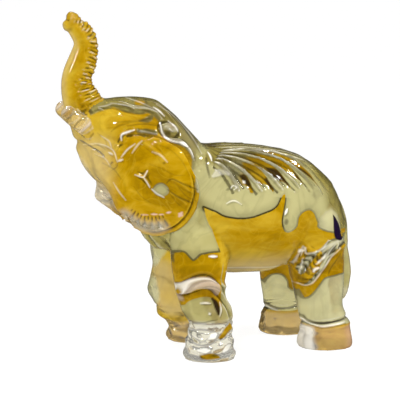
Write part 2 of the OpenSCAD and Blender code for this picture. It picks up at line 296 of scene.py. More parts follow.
def floor_material(stage):
    """Pale floor that keeps the figure's shadow, and shows as white where it is seen."""
    material, nodes, surface = new_material("floor")
    grain = nodes.node("TexNoise", {}, Scale=300.0)
    away = nodes.node("VectorMath", {"operation": "LENGTH"}, output="Value",
                      i0=nodes.node("TexCoord", output="Object")).rise(*FLOOR_FADE)
    dim = seen_rays(nodes, "Is Glossy Ray").mix(stage.floor, stage.reflected)
    matt = nodes.node("BsdfPrincipled", {}, Base_Color=dim, Roughness=grain * 0.1 + 0.6)
    white = nodes.node("Emission", {}, Color=(1, 1, 1), Strength=away.mix_value(*WHITE_STRENGTH))
    share = seen_rays(nodes, "Is Camera Ray", "Is Transmission Ray") * away.mix_value(*WHITE_SHARE)
    nodes.link(surface, nodes.node("MixShader", {}, i0=share, i1=matt, i2=white))
    return material


def smooth_step(value, low, high):
    """0 at low, 1 at high and smooth between them, for arrays."""
    share = np.clip((value - low) / (high - low), 0, 1)
    return share * share * (3 - 2 * share)


def fall(value, low, high):
    """1 at low, 0 at high and smooth between them, for arrays."""
    return 1 - smooth_step(value, low, high)


def band(value, start, full, falling, end):
    """1 from full to falling, and fading to 0 at the start and at the end, for arrays."""
    return smooth_step(value, start, full) * fall(value, falling, end)


def hump(value, middle, half_width):
    """1 at the middle, falling smoothly to almost nothing at the half width, for arrays."""
    return np.exp(-3 * ((value - middle) / half_width) ** 2)


def rings(gap, rows):
    """Sum of rounded rings and hollows, each given by its distance, half width and height."""
    return sum(height * hump(gap, middle, half_width) for middle, half_width, height in rows)


def to_head(points):
    """Points in the head's own frame, in which it looks straight ahead."""
    x = points[:, 0] - NECK_X
    c, s = math.cos(HEAD_TURN), math.sin(HEAD_TURN)
    return np.stack([x * c - points[:, 1] * s + NECK_X, x * s + points[:, 1] * c, points[:, 2]], 1)


def in_metres(points):
    """Points of the drawing, in millimetres from the middle of the stance, as points of the scene."""
    return (points + (STANCE_X, 0, 0)) / MM_PER_M


def hand_of(name):
    """-1 for a piece on the left, and 1 for one on the right or in the middle."""
    return -1 if name.startswith("left") else 1


def on_side(stations, hand):
    """Stations that are drawn on the left, on the given side."""
    return [(x, -hand * y, z) for x, y, z in stations]


def fine_line(stations, steps=8):
    """A smooth curve through the stations, as closely spaced points."""
    p = np.array(stations, float)
    p = np.vstack([2 * p[0] - p[1], p, 2 * p[-1] - p[-2]])
    rows = []
    for i in range(1, len(p) - 2):
        a, b, c, d = p[i - 1:i + 3]
        for f in np.linspace(0, 1, steps, endpoint=False):
            rows.append((2 * b + (c - a) * f + (2 * a - 5 * b + 4 * c - d) * f ** 2
                         + (3 * b - a - 3 * c + d) * f ** 3) / 2)
    rows.append(p[-2])
    return np.array(rows)


def along(points, line):
    """For each point, its distance from a line, and how far along the line it lies, in millimetres."""
    start, step = line[:-1], line[1:] - line[:-1]
    length = np.linalg.norm(step, axis=1)
    run = np.concatenate([[0], np.cumsum(length)])
    best = np.full(len(points), FAR)
    where = np.zeros(len(points))
    for i in range(len(step)):
        share = np.clip((points - start[i]) @ step[i] / length[i] ** 2, 0, 1)
        gap = np.linalg.norm(points - start[i] - share[:, None] * step[i], axis=1)
        near = gap < best
        best[near] = gap[near]
        where[near] = run[i] + share[near] * length[i]
    return best, where, run[-1]


def ridge(points, stations, height, half_width):
    """Height of a rounded ridge along a curve, which fades at both ends."""
    gap, where, length = along(points, fine_line(stations))
    fade = band(where / length, 0, 0.15, 0.85, 1)
    return height * hump(gap, 0, half_width) * (0.25 + 0.75 * fade)


def inside(points, outline):
    """Distance inside a smooth closed outline, negative outside it, for points in its plane."""
    corners = fine_line([*outline, outline[0]], 3)[:-1]
    best = np.full(len(points), FAR)
    within = np.zeros(len(points), bool)
    for a, b in zip(corners, np.roll(corners, -1, 0)):
        step = b - a
        share = np.clip((points - a) @ step / (step @ step), 0, 1)
        best = np.minimum(best, np.linalg.norm(points - a - share[:, None] * step, axis=1))
        crosses = (a[1] > points[:, 1]) != (b[1] > points[:, 1])
        x = a[0] + (points[:, 1] - a[1]) * step[0] / (step[1] or 1 / FAR)
        within ^= crosses & (points[:, 0] < x)
    return np.where(within, best, -best)


# How far each round of polishing pulls a point towards its neighbours, and then away from them
POLISH_PULLS = (0.5, -0.53)


class Skin:
    """The figure's whole surface as arrays: points in millimetres, faces and edges."""

    def __init__(self, mesh):
        count = len(mesh.vertices)
        flat = np.empty(count * 3)
        mesh.vertices.foreach_get("co", flat)
        self.points = flat.reshape(-1, 3) * MM_PER_M - (STANCE_X, 0, 0)
        self.faces = [tuple(p.vertices) for p in mesh.polygons]
        pairs = np.empty(len(mesh.edges) * 2, int)
        mesh.edges.foreach_get("vertices", pairs)
        self.edges = pairs.reshape(-1, 2)

    def mesh(self, name):
        """The skin as a mesh."""
        mesh = bpy.data.meshes.new(name)
        mesh.from_pydata(in_metres(self.points).tolist(), [], self.faces)
        return mesh

    def around(self, values):
        """Average of some values over each point's neighbours."""
        a, b = self.edges.T
        count = len(self.points)
        sizes = np.maximum(np.bincount(a, minlength=count) + np.bincount(b, minlength=count), 1)
        return (np.bincount(a, values[b], count) + np.bincount(b, values[a], count)) / sizes

    def spread(self, values, rounds):
        """Softens values at the points by averaging each with its neighbours."""
        for _ in range(rounds):
            values = (values + self.around(values)) / 2
        return values

    def polish(self, rounds):
        """Smooths the surface without shrinking it."""
        for _ in range(rounds):
            for pull in POLISH_PULLS:
                mean = np.stack([self.around(self.points[:, k]) for k in range(3)], 1)
                self.points += pull * (mean - self.points)

    def soften(self, weight, rounds):
        """Melts the surface away where the weight is high, so that masses flow into each other."""
        for _ in range(rounds):
            mean = np.stack([self.spread(self.points[:, k], 1) for k in range(3)], 1)
            self.points += weight[:, None] * (mean - self.points)

    def normals(self):
        """Direction out of the surface at each point."""
        mesh = self.mesh("normals")
        flat = np.empty(len(self.points) * 3, np.float32)
        mesh.vertex_normals.foreach_get("vector", flat)
        bpy.data.meshes.remove(mesh)
        return flat.reshape(-1, 3).astype(float)

    def centres(self):
        """Middle of each face."""
        return np.array([self.points[list(f)].mean(0) for f in self.faces])


def solids():
    """All the solids' points, faces and the solid that each face is of."""
    points, faces, owners = [], [], []
    for index, name in enumerate(NODE_NAMES):
        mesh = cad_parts[name].data
        first = len(points)
        points += [v.co.copy() for v in mesh.vertices]
        for polygon in mesh.polygons:
            faces.append([first + v for v in polygon.vertices])
            owners.append(index)
    return points, faces, np.array(owners)


def largest(mesh):
    """Removes all of a mesh but its largest shell, so that no bubble is left inside the glass."""
    bm = bmesh.new()
    bm.from_mesh(mesh)
    left, shells = set(bm.verts), []
    while left:
        front = [left.pop()]
        shell = list(front)
        while front:
            vertex = front.pop()
            for edge in vertex.link_edges:
                other = edge.other_vert(vertex)
                if other in left:
                    left.remove(other)
                    shell.append(other)
                    front.append(other)
        shells.append(shell)
    shells.sort(key=len)
    bmesh.ops.delete(bm, geom=[v for shell in shells[:-1] for v in shell], context="VERTS")
    bm.to_mesh(mesh)
    bm.free()


def melted(points, faces, grain):
    """One closed skin round all the solids."""
    mesh = bpy.data.meshes.new("melt")
    mesh.from_pydata(points, [], faces)
    melt = bpy.data.objects.new("melt", mesh)
    bpy.context.scene.collection.objects.link(melt)
    remesh = melt.modifiers.new("Melt", "REMESH")
    remesh.mode = "VOXEL"
    remesh.voxel_size = grain
    shell = bpy.data.meshes.new_from_object(melt.evaluated_get(bpy.context.evaluated_depsgraph_get()))
    bpy.data.objects.remove(melt)
    bpy.data.meshes.remove(mesh)
    largest(shell)
    skin = Skin(shell)
    bpy.data.meshes.remove(shell)
    return skin


def refined(skin):
    """The skin with all its faces but those of the soles split into four, for finer detail."""
    above = skin.centres()[:, 2] > SOLE_MM
    mesh = skin.mesh("melt")
    bm = bmesh.new()
    bm.from_mesh(mesh)
    edges = [edge for edge in bm.edges if any(above[face.index] for face in edge.link_faces)]
    bmesh.ops.subdivide_edges(bm, edges=edges, cuts=1, use_grid_fill=True)
    bm.to_mesh(mesh)
    bm.free()
    fine = Skin(mesh)
    bpy.data.meshes.remove(mesh)
    return fine


class Owners:
    """Which solid each face of a skin is of: the one that it lies nearest to."""

    def __init__(self, points, faces, owners):
        self.tree = BVHTree.FromPolygons(points, faces)
        self.owners = owners

    def of(self, skin):
        """The solid that each of the skin's faces is of, by its place in NODE_NAMES."""
        return np.array([self.owners[self.tree.find_nearest(c)[2]] for c in in_metres(skin.centres())])


def straightened(skin, labels, rounds):
    """Labels of the faces, each changed to the one that most of the faces round it have."""
    corners = np.array([v for face in skin.faces for v in face])
    index = np.repeat(np.arange(len(skin.faces)), [len(face) for face in skin.faces])
    for _ in range(rounds):
        votes = np.zeros((len(skin.faces), len(NODE_NAMES)))
        for label in range(len(NODE_NAMES)):
            at = np.bincount(corners, labels[index] == label, len(skin.points))
            votes[:, label] = np.bincount(index, at[corners], len(skin.faces))
        labels = votes.argmax(1)
    return labels


def face_joins(faces):
    """For each face, the faces that share an edge with it."""
    waiting = {}
    joins = [[] for _ in faces]
    for i, face in enumerate(faces):
        for a, b in zip(face, face[1:] + face[:1]):
            other = waiting.pop((b, a), None)
            if other is None:
                waiting[a, b] = i
            else:
                joins[i].append(other)
                joins[other].append(i)
    return joins


def label_islands(labels, joins):
    """Groups of joined faces that have the same label."""
    seen = np.zeros(len(labels), bool)
    islands = []
    for first in range(len(labels)):
        if seen[first]:
            continue
        seen[first] = True
        island, front = [first], [first]
        while front:
            for other in joins[front.pop()]:
                if not seen[other] and labels[other] == labels[first]:
                    seen[other] = True
                    island.append(other)
                    front.append(other)
        islands.append(island)
    return islands


def settle(skin, labels):
    """Straightens the borders between the solids' faces, and gives stray islands to their surroundings."""
    labels = straightened(skin, labels, BORDER_ROUNDS)
    joins = face_joins(skin.faces)
    islands = label_islands(labels, joins)
    biggest = {}
    for island in islands:
        label = labels[island[0]]
        if len(island) > len(biggest.get(label, ())):
            biggest[label] = island
    for island in sorted(islands, key=len):
        if island is not biggest[labels[island[0]]]:
            rim = [labels[o] for i in island for o in joins[i] if labels[o] != labels[island[0]]]
            labels[island] = max(set(rim), key=rim.count)
    return labels


# Centre of the trunk, from the face to its tip, in the head's frame
TRUNK_LINE = [(-56.5, 0, 80), (-61.6, 0, 91), (-63.2, 0, 97.2), (-61.3, 0, 102.4), (-59.8, 0, 107.2),
              (-59.6, 0, 111), (-61.5, 0, 114.7), (-64.1, 0, 117.4), (-65.6, 0, 118.45)]
# Spacing of the creases, of the fainter folds that cross them, and of the beads at their ends
CREASE_PITCH, CROSS_PITCH, BEAD_PITCH = 1.2, 2.1, 1.9
# Marks of the tip in the head's frame: X, Z, how far they rise and how wide they are
TIP_MARKS = [
    (-66.8, 118.7, -0.8, 1.7), (-66.4, 115.8, 0.7, 2.0), (-60.8, 118.6, -0.8, 2.6), (-65.0, 120.6, 0.4, 1.5)]


def trunk_places(points):
    """For each point of the trunk: how far along it is, how far it faces the front, and how creased it is."""
    line = fine_line(TRUNK_LINE)
    gap, where, length = along(points, line)
    run = np.concatenate([[0], np.cumsum(np.linalg.norm(np.diff(line, axis=0), axis=1))])
    ahead = np.gradient(line, axis=0)
    ahead /= np.linalg.norm(ahead, axis=1)[:, None]
    front = np.stack([ahead[:, 2], np.zeros(len(line)), -ahead[:, 0]], 1)
    at = np.stack([np.interp(where, run, line[:, k]) for k in range(3)], 1)
    out = np.stack([np.interp(where, run, front[:, k]) for k in range(3)], 1)
    facing = ((points - at) * out).sum(1) / np.maximum(gap, 0.1)
    creased = smooth_step(facing, -0.1, 0.35) * band(where, 7, 13, length - 3, length)
    return where, facing, creased


def crease_wave(where, facing):
    """0 in a crease of the trunk and 1 halfway to the next: they run a little unevenly across it."""
    bent = where + 0.3 * np.sin(3.1 * facing + where / 2.7)
    return np.abs(np.sin(math.pi * bent / CREASE_PITCH))


def trunk_relief(points, depth):
    """Creases across the front of the trunk, which faces back over the head, and its cleft tip."""
    where, facing, creased = trunk_places(points)
    wave = crease_wave(where, facing) ** 0.7 - 1.6
    cross = 0.25 * np.sin(math.tau * (where / CROSS_PITCH + 1.1 * facing))
    beads = hump(facing, -0.12, 0.2) * np.clip(np.cos(math.tau * where / BEAD_PITCH), 0, 1) ** 2
    beads *= band(where, 6, 9, 18, 24)
    rise = depth * (wave + cross) * creased + 0.45 * beads
    for x, z, height, half_width in TIP_MARKS:
        rise += height * hump(np.hypot(points[:, 0] - x, points[:, 2] - z), 0, half_width)
    return rise


# Torso, as it is drawn: shares of its length, its width, and the lines of its back and belly
TORSO_LINES = [
    (0.00, 0.50, 0.82, 1.35), (0.11, 0.77, 0.96, 1.12), (0.28, 0.95, 1.00, 1.03), (0.50, 0.99, 0.985, 0.98),
    (0.67, 0.91, 0.955, 0.98), (0.81, 0.76, 0.87, 1.00), (0.92, 0.59, 0.755, 1.07), (1.00, 0.40, 0.63, 1.22)]
CHEST_X, BODY_LENGTH, BODY_WIDTH, BACK_HEIGHT, BELLY_HEIGHT = -36.0, 70.0, 47.0, 74.0, 27.0
# Flutes on each side, their width, the points along each, and the steps between the torso's lines
FLUTES, FLUTE_WIDTH, FLUTE_POINTS, SECTION_STEPS = 6, 3.6, 17, 20
# Where the first and the last flute leave the nape and end: along the body, and from the top of the back
NAPE_U, NAPE_ANGLE = (1.7, 2.05), (38, 23)
END_U, END_ANGLE = (2.2, 5.45), (70, 56)


def flute_line(rank, hand):
    """Crest of a flute: it leaves the nape with the others, runs back and turns down the flank."""
    rows = [(CHEST_X + x * BODY_LENGTH, w * BODY_WIDTH / 2, back * BACK_HEIGHT, belly * BELLY_HEIGHT)
            for x, w, back, belly in TORSO_LINES]
    sections = fine_line(rows, SECTION_STEPS)
    start_u, start_angle = np.interp(rank, (0, 1), NAPE_U), np.interp(rank, (0, 1), NAPE_ANGLE)
    end_u, end_angle = np.interp(rank ** 1.1, (0, 1), END_U), np.interp(rank ** 2, (0, 1), END_ANGLE)
    crest = []
    for t in np.linspace(0, 1, FLUTE_POINTS):
        place = (start_u + (end_u - start_u) * t) * SECTION_STEPS
        angle = math.radians(start_angle + (end_angle - start_angle) * t ** (1.6 + 1.9 * rank ** 3))
        x, half_w, top, bottom = (np.interp(place, range(len(sections)), sections[:, k]) for k in range(4))
        proud = 0.6 * FLUTE_WIDTH / 2 * (0.35 + 0.65 * math.sin(math.pi * t ** 0.8))
        middle, half_h = (top + bottom) / 2, (top - bottom) / 2
        y = hand * (half_w + proud) * math.sin(angle)
        crest.append((x, y, middle + (half_h + proud) * math.cos(angle)))
    return np.array(crest)


def flute_places(points):
    """For each point: the gap to the nearest flute's crest, and how far along it the point lies."""
    gap, share = np.full(len(points), FAR), np.zeros(len(points))
    for rank in np.linspace(0, 1, FLUTES):
        for hand in (-1, 1):
            off, where, length = along(points, flute_line(rank, hand))
            near = off < gap
            gap[near], share[near] = off[near], where[near] / length
    return gap, share


def flute_fan():
    """Outline of the flutes' fan, seen from the side."""
    return [(x, z) for x, _, z in [*flute_line(0, 1)[::2], *flute_line(1, 1)[::-2]]]


def back_relief(points, height):
    """Flutes that fan out from the nape over each flank, sharp along the top and hollow beside it."""
    gap, share = flute_places(points)
    half = 0.5 + 0.5 * np.sin(math.pi * np.clip(share, 0, 1) ** 0.8)
    crest = np.clip(1 - gap / half, 0, 1) ** 1.2
    valley = hump(gap, 2.3, 1.5)
    return height * band(share, 0.0, 0.06, 0.94, 1.0) * (crest - 0.45 * valley)


def chest_relief(points):
    """Upright folds on the chest."""
    x, y, z = points.T
    reach = fall(x, -34, -30) * band(z, 30, 36, 44, 52)
    return 0.55 * np.sin(y * 1.15 + 0.4 * np.sin(z * 0.35)) * reach


# Middle of the right ear in the head's frame, how far it leans and flares, and its size
EAR_ROOT = np.array([-40.2, 20.0, 61.0])
EAR_LEAN, EAR_FLARE = math.radians(8), math.radians(20)
EAR_LENGTH, EAR_HEIGHT = 33.0, 35.0


def to_ear(points, hand):
    """Places on an ear: how far out from its middle, 1 at its edge, and the angle up from its back."""
    p = points * (1, hand, 1) - EAR_ROOT
    c, s = math.cos(EAR_FLARE), math.sin(EAR_FLARE)
    p = np.stack([p[:, 0] * c + p[:, 1] * s, -p[:, 0] * s + p[:, 1] * c, p[:, 2]], 1)
    c, s = math.cos(EAR_LEAN), math.sin(EAR_LEAN)
    p = np.stack([p[:, 0], p[:, 1] * c - p[:, 2] * s, p[:, 1] * s + p[:, 2] * c], 1)
    a, b = p[:, 0] / (EAR_LENGTH / 2), p[:, 2] / (EAR_HEIGHT / 2)
    return np.hypot(a, b), np.degrees(np.arctan2(b, a))


# Lobe of the right ear, which shows beyond the cheek, in the head's frame
FAR_LOBE = np.array([-51.6, 10.5, 55.4])
# Folds inside an ear: X, Y and Z in the head's frame on its left, height and half width
EAR_FOLDS = [
    ([(-45.4, -20.3, 66.4), (-43, -21.6, 65.2), (-40.7, -22.6, 61.9)], 0.7, 0.9),
    ([(-41.4, -22.1, 67.6), (-42.4, -21.8, 66.2), (-43, -21.6, 65.2)], 0.6, 0.9),
    ([(-43.5, -19.2, 77.9), (-40.4, -21.5, 75.6), (-37.7, -22.9, 73.3), (-35.6, -24, 69.8)], 0.6, 1.3),
    ([(-34.7, -24, 64.8), (-31.3, -24.6, 64), (-27.8, -24.4, 61), (-24.8, -23.6, 58.6)], 0.45, 1.3),
    ([(-34.6, -23.7, 60.6), (-31.2, -23.8, 58.4), (-27.6, -23.1, 55.2)], 0.45, 1.2),
    ([(-35.6, -22.8, 57.5), (-33.1, -22.4, 53.6)], 0.4, 1.2),
]


# Rim of an ear: shares of the way out from its middle, half widths and heights
EAR_RIM = [(0.97, 0.06, 0.55), (0.915, 0.045, -0.4), (0.87, 0.04, 0.3)]
# Pleats and beads that would go round an ear, and where they and the rim begin and end, in degrees
EAR_PLEATS, EAR_BEADS = 30, 47
FRINGE_ANGLES, RIM_ANGLES = (50, 75, 126, 142), (-110, -80, 5, 40)


def ear_relief(points, hand, depth):
    """Rim, pleats and folds of an ear."""
    reach, angle = to_ear(points, hand)
    pleats = np.cos(np.radians(EAR_PLEATS * angle)) * hump(reach, 0.76, 0.16)
    beads = 0.7 * np.cos(np.radians(EAR_BEADS * angle)) * hump(reach, 0.60, 0.08)
    dish = 0.5 * fall(reach, 0.15, 0.6)
    rise = depth * (pleats + beads) * band(-angle, *FRINGE_ANGLES) - dish
    rise += rings(reach, EAR_RIM) * band(angle, *RIM_ANGLES)
    if hand < 0:
        # The lower front corner of the left ear is pressed in towards the cheek
        rise -= 2.2 * hump(angle, -132, 24) * smooth_step(reach, 0.75, 0.95)
    for stations, height, half_width in EAR_FOLDS:
        rise += ridge(points, on_side(stations, hand), height, half_width)
    return rise


# Folds of the face in the head's frame on its left: where they run, height and half width
FACE_FOLDS = [
    ([(-50.6, -16, 76.6), (-49.4, -16.1, 78.4), (-47.6, -15.6, 80.2), (-44.8, -15.4, 81.3)], 0.9, 1.1),
    ([(-44.2, -15.5, 80.7), (-40.1, -15.7, 80.1), (-36.4, -15.6, 79)], 0.6, 1.1),
    ([(-49.6, -16.2, 77.8), (-51.3, -15.3, 75), (-52.9, -14.8, 71.4)], 0.6, 1.0),
    ([(-44.5, -19.1, 77.2), (-47.6, -18.3, 74.7), (-50.2, -17.2, 71.2), (-52.8, -15.3, 68.3)], 0.6, 1.2),
    ([(-59.5, -9.5, 75.4), (-56.4, -12.2, 74.2), (-53.2, -14, 71.6), (-51.2, -16.4, 70.2)], 0.6, 1.1),
    ([(-50.9, -16.8, 70.8), (-54, -14.2, 67.3), (-55.8, -10.9, 64.2)], 0.5, 1.1),
    ([(-34.4, -15.3, 78.2), (-30, -14, 77), (-27, -13.4, 74.9), (-25, -13.5, 72),
      (-23.4, -13.5, 69)], 0.8, 1.2),
    ([(-51, -1, 91.2), (-44, -3, 92), (-36, -5.5, 89.6), (-31, -8.5, 85.4), (-26, -10, 79.5),
      (-21.8, -10, 74.5)],
     0.35, 0.9),
    ([(-50, -5.4, 90.3), (-45, -9, 89), (-40, -9.5, 88.2), (-36.6, -10.5, 86.7),
      (-34, -12.4, 83.2)], 0.45, 1.0),
    ([(-53, -9.7, 87.7), (-49, -11.5, 86.5), (-44, -12.8, 85.4), (-39, -12.8, 85)], 0.4, 1.1),
    ([(-57, -8.2, 88.4), (-54.5, -9.4, 86.6), (-53.8, -11.5, 83.6)], 0.5, 1.0),
]
FACE_GROOVES = [
    ([(-63.4, -3, 76.6), (-60.6, -7.8, 75.2), (-57, -11.5, 73.4), (-54, -13.4, 70.8)], 0.7, 1.0),
    ([(-47.6, -15.5, 77.6), (-45, -15.8, 79), (-41, -16, 78.8)], 0.7, 1.3),
]
# Eye and temple on the left, and the muzzle; then rings round the first two: distance, half width and height
EYE = (-48.0, -16.0, 77.0)
TEMPLE, TEMPLE_STRETCH = (-32.3, -13.2, 80.9), (1.45, 1, 1)
MUZZLE = (-61.0, 0.0, 67.0)
EYE_RINGS = [(0, 1.6, 0.8), (2.4, 1.2, -0.6)]
TEMPLE_RINGS = [(0, 2.6, 0.9), (3.2, 1.0, -0.6)]


def face_relief(points):
    """Brow, eyes, mouth, cheeks and the folds behind the ears."""
    x, y, z = points.T
    rise = -0.9 * band(x, -36, -30, -18, -12) * smooth_step(z, 70, 76) * hump(y, 0, 14)
    for hand in (1, -1):
        for stations, height, half_width in FACE_FOLDS:
            rise += ridge(points, on_side(stations, hand), height, half_width)
        for stations, depth, half_width in FACE_GROOVES:
            rise -= ridge(points, on_side(stations, hand), depth, half_width)
        eye, temple = on_side([EYE, TEMPLE], hand)
        rise += rings(np.linalg.norm(points - eye, axis=1), EYE_RINGS)
        rise += rings(np.linalg.norm((points - temple) / TEMPLE_STRETCH, axis=1), TEMPLE_RINGS)
    return rise


# Folds of the hind legs on the left: where they run, height and half width
THIGH_FOLDS = [
    ([(34, -9, 38.6), (27, -19.5, 38.8), (20.4, -22.4, 37), (16.6, -21.8, 35.2),
      (13.4, -20.6, 37.8)], 1.2, 1.2),
    ([(31, -16.5, 37.2), (25, -22.2, 35.6), (19, -23.2, 32.4), (15.2, -21.5, 29.4),
      (12.8, -17.5, 27.4)], 1.2, 1.3),
    ([(17, -22, 35.4), (15.4, -21.4, 32), (13.2, -19, 29)], 0.9, 0.9),
    ([(21.5, -22.8, 37), (19.6, -23.2, 34.4), (18.6, -23.2, 32.6)], 0.8, 0.9),
    ([(25.4, -21.4, 38.2), (23.8, -22.6, 36)], 0.7, 0.9),
    ([(13.4, -20.4, 37.6), (12.4, -19, 34), (11.8, -17.4, 31)], 0.8, 0.9),
]
# Top of the roll above the left fore leg's knee, X and Z
KNEE_TOP = (-28.4, 28.4)
# Rolls and grooves across a leg: height, half width and how far they rise. Those of the knee's roll and of
# the hoof's cuff are measured from their middle
ROLL_RINGS = [(0, 2.0, 0.7), (2.6, 1.0, -0.63), (-2.6, 1.1, -0.7)]
SHIN_RINGS = [(18.2, 4.2, 0.5), (13.2, 1.2, -0.5)]
CUFF_RINGS = [(0, 1.2, -0.6), (-2.4, 1.4, 0.3)]
# Middle of each sole, X and Y
SOLES = {"left_fore_leg": (-23, -17), "right_fore_leg": (-15, 15.5),
         "left_hind_leg": (23.8, -15.5), "right_hind_leg": (22, 14)}


def knee_arch(points):
    """Height of the middle of the left knee's roll at each point, which hangs down at its ends."""
    top_x, top_z = KNEE_TOP
    return top_z - 3.2 * ((points[:, 0] - top_x) / 6) ** 2


def fore_leg_relief(points, hand, angle):
    """Knee roll, shin and wrinkled foot of a fore leg, given the angle of each point round its sole."""
    x, y, z = points.T
    out = smooth_step(hand * y, 12, 17)
    rise = out * rings(z, SHIN_RINGS)
    if hand < 0:
        rise += out * rings(z - knee_arch(points), ROLL_RINGS)
    else:
        # The right knee is drawn in above its front
        rise -= 1.4 * hump(z, 29, 8) * smooth_step(-x, 26, 30)
    wrinkles = 0.3 * np.sin(z * 1.5 + 2 * np.sin(angle * 2)) + 0.22 * np.sin(angle * 9 + z * 0.7)
    return rise + fall(z, 10, 14) * wrinkles


def hind_leg_relief(points, hand, angle, sole_x):
    """Cuff, thigh folds, knot and toes of a hind leg, given the angle of each point round its sole."""
    x, y, z = points.T
    cuff = 10.2 + 0.09 * (x - sole_x)
    rise = rings(z - cuff, CUFF_RINGS)
    for stations, height, half_width in THIGH_FOLDS:
        rise += ridge(points, on_side(stations, hand), height, half_width)
    knot = smooth_step(inside(points[:, (0, 2)], THIGH_KNOT), -0.2, 0.6) * smooth_step(hand * y, 8, 12)
    rise += 0.16 * knot * np.sin(2.6 * x + 2.0 * z + 2.5 * np.sin(0.9 * z - 1.3 * x))
    front = smooth_step(-np.cos(angle), 0.1, 0.7)
    return rise + 0.4 * front * np.cos(9 * angle) * fall(z, 6, 9)


def leg_relief(points, name):
    """Detail of a leg."""
    sole_x, sole_y = SOLES[name]
    angle = np.arctan2(points[:, 1] - sole_y, points[:, 0] - sole_x)
    if "fore" in name:
        return fore_leg_relief(points, hand_of(name), angle)
    return hind_leg_relief(points, hand_of(name), angle, sole_x)


def wobble(points):
    """The slight unevenness of hand-finished glass."""
    x, y, z = points.T
    return (0.10 * np.sin(x / 3.9 + 1.7 * np.sin(z / 6.1)) * np.sin(z / 4.3 + 0.6 + np.sin(y / 5))
            + 0.05 * np.sin(x / 1.9 + z / 2.3) * np.sin(y / 2.1 - z / 3.1))


# Outlines of the amber swirls, seen from the side: X and Z on the body and the legs
BELLY_AMBER = [
    (-26.3, 54.1), (-22.4, 52.3), (-19.1, 50.5), (-14.8, 49.6), (-10, 49.7), (-5.5, 50.9), (-1.5, 52),
    (1, 53.6), (3, 56.6), (4.2, 56.8), (3.2, 52.6), (2.4, 47.5), (3.8, 44), (6.4, 43.4), (9.2, 45.4),
    (9.6, 48.3), (11.8, 50.2), (14.6, 50.7), (17.2, 48.9), (18.6, 45.8), (18.6, 43.8), (24.5, 41.8),
    (36, 41), (36, 39.6), (25.4, 39.8), (21.6, 39.2), (17.6, 36.6), (15.1, 35.6), (13.4, 35.4), (12.8, 37.5),
    (11.2, 33.8), (10.5, 31.4), (10.8, 20), (-17, 20),
    (-18, 34.2), (-18.5, 37.9), (-20.6, 41.3), (-22.9, 45.2), (-25, 49.2)]
FORE_AMBER = [
    (-42, 33), (-38, 33.6), (-35.5, 34), (-35.2, 37.3), (-34.6, 38.3), (-33.4, 38.6), (-32.4, 37.3),
    (-31.2, 35.8),
    (-30, 36.4), (-28.5, 37.8), (-27.2, 38.1), (-24.5, 38.3), (-19.2, 37.6), (-20, 34), (-21, 30), (-22, 26),
    (-21.6, 21.6), (-22.2, 19.2), (-23.8, 20.4), (-24.8, 21.8), (-26.2, 23), (-28.7, 23.2), (-31.3, 22.4),
    (-32.7, 21.2), (-33.6, 19.6), (-37, 18)]
KNEE_PALE = [
    (-34.8, 21.2), (-35.4, 25.6), (-33.8, 27.9), (-32.4, 29.4), (-30, 30.2), (-26.6, 30.1), (-24.3, 29.1),
    (-23.2, 27.4), (-22.6, 24.1), (-23.8, 23.4), (-25.4, 25.4), (-28, 26.4), (-30.9, 26.6), (-33, 25.4),
    (-33.6, 23.6), (-33.4, 21.2)]
THIGH_AMBER = [
    (10.6, 26), (11.3, 23.9), (12.8, 23.9), (14.5, 25), (16.2, 27.5), (17.9, 30), (21.4, 34.1),
    (26, 36.8), (36, 37.4),
    (36, 28.6), (25, 27.5), (19, 26.8), (17, 24.7), (15.5, 22), (14, 19.7), (12.9, 19), (12, 21.5)]
FAR_THIGH_AMBER = [
    (8, 40), (8, 18), (13.2, 18), (13.9, 20.3), (14.7, 22.3), (16.2, 23), (18.1, 22.6), (20.3, 20.2),
    (21.5, 17),
    (30, 17), (30, 40)]
THIGH_KNOT = [
    (10.8, 27.4), (10.5, 31.4), (11.2, 33.8), (12.8, 37.5), (13.4, 35.4), (15.1, 35.6), (17.6, 36.6),
    (18.6, 33.4),
    (16.8, 30.6), (16.2, 27.5), (14.5, 25), (12.8, 24), (11.3, 24)]
SHOULDER_AMBER = [
    (-24.8, 49.6), (-22.8, 44.1), (-21, 38.9), (-19.8, 34.5), (-20, 31), (-20.4, 27), (-10, 26), (-10, 52)]
HEEL_AMBER = [(-17, 13.2), (-16, 11.4), (-19.6, 9.2), (-22.2, 7.6), (-23, 8.8), (-20.6, 11.4)]
SOLE_AMBER = [(-29.5, 2.6), (-27, 3.5), (-24, 3), (-23.2, 1.5), (-26.5, 1.1), (-29, 1.2)]
HOOF_AMBER = [(-40, 7.8), (45, 8.4), (45, -2), (-40, -2)]
BODY_AMBER = {
    "torso": [BELLY_AMBER],
    "left_fore_leg": [FORE_AMBER, HEEL_AMBER, SOLE_AMBER, SHOULDER_AMBER],
    "left_hind_leg": [BELLY_AMBER, THIGH_AMBER, HOOF_AMBER],
    "right_hind_leg": [BELLY_AMBER, THIGH_AMBER, HOOF_AMBER],
}

# Distances from the middle of the back at which painted highlight lines run along it
SPINE_LINES = (3.4, 5.8, 8.2, 10.4)
# Painted shade: the darkest places in the hollows between the flutes, seen from the side
FLUTE_HOLLOW_SHADE = [
    [(-3, 62.4), (-1, 64.4), (1.6, 61), (0.8, 58.6), (-0.8, 58.6)],
    [(-1.5, 66.4), (2.8, 65.8), (6.2, 63.6), (8.6, 60.4), (6, 59), (2.7, 60.3)],
    [(10, 65.4), (14.2, 65.2), (17.8, 62.4), (19.4, 60), (16, 58.8), (11.4, 61.2)],
    [(3.5, 72.5), (7.5, 71.6), (11.8, 70.3), (11.4, 69.6), (7.5, 70.6)],
    [(-12.4, 64.4), (-10.4, 65), (-8.4, 61.4), (-10.2, 60.6)],
]

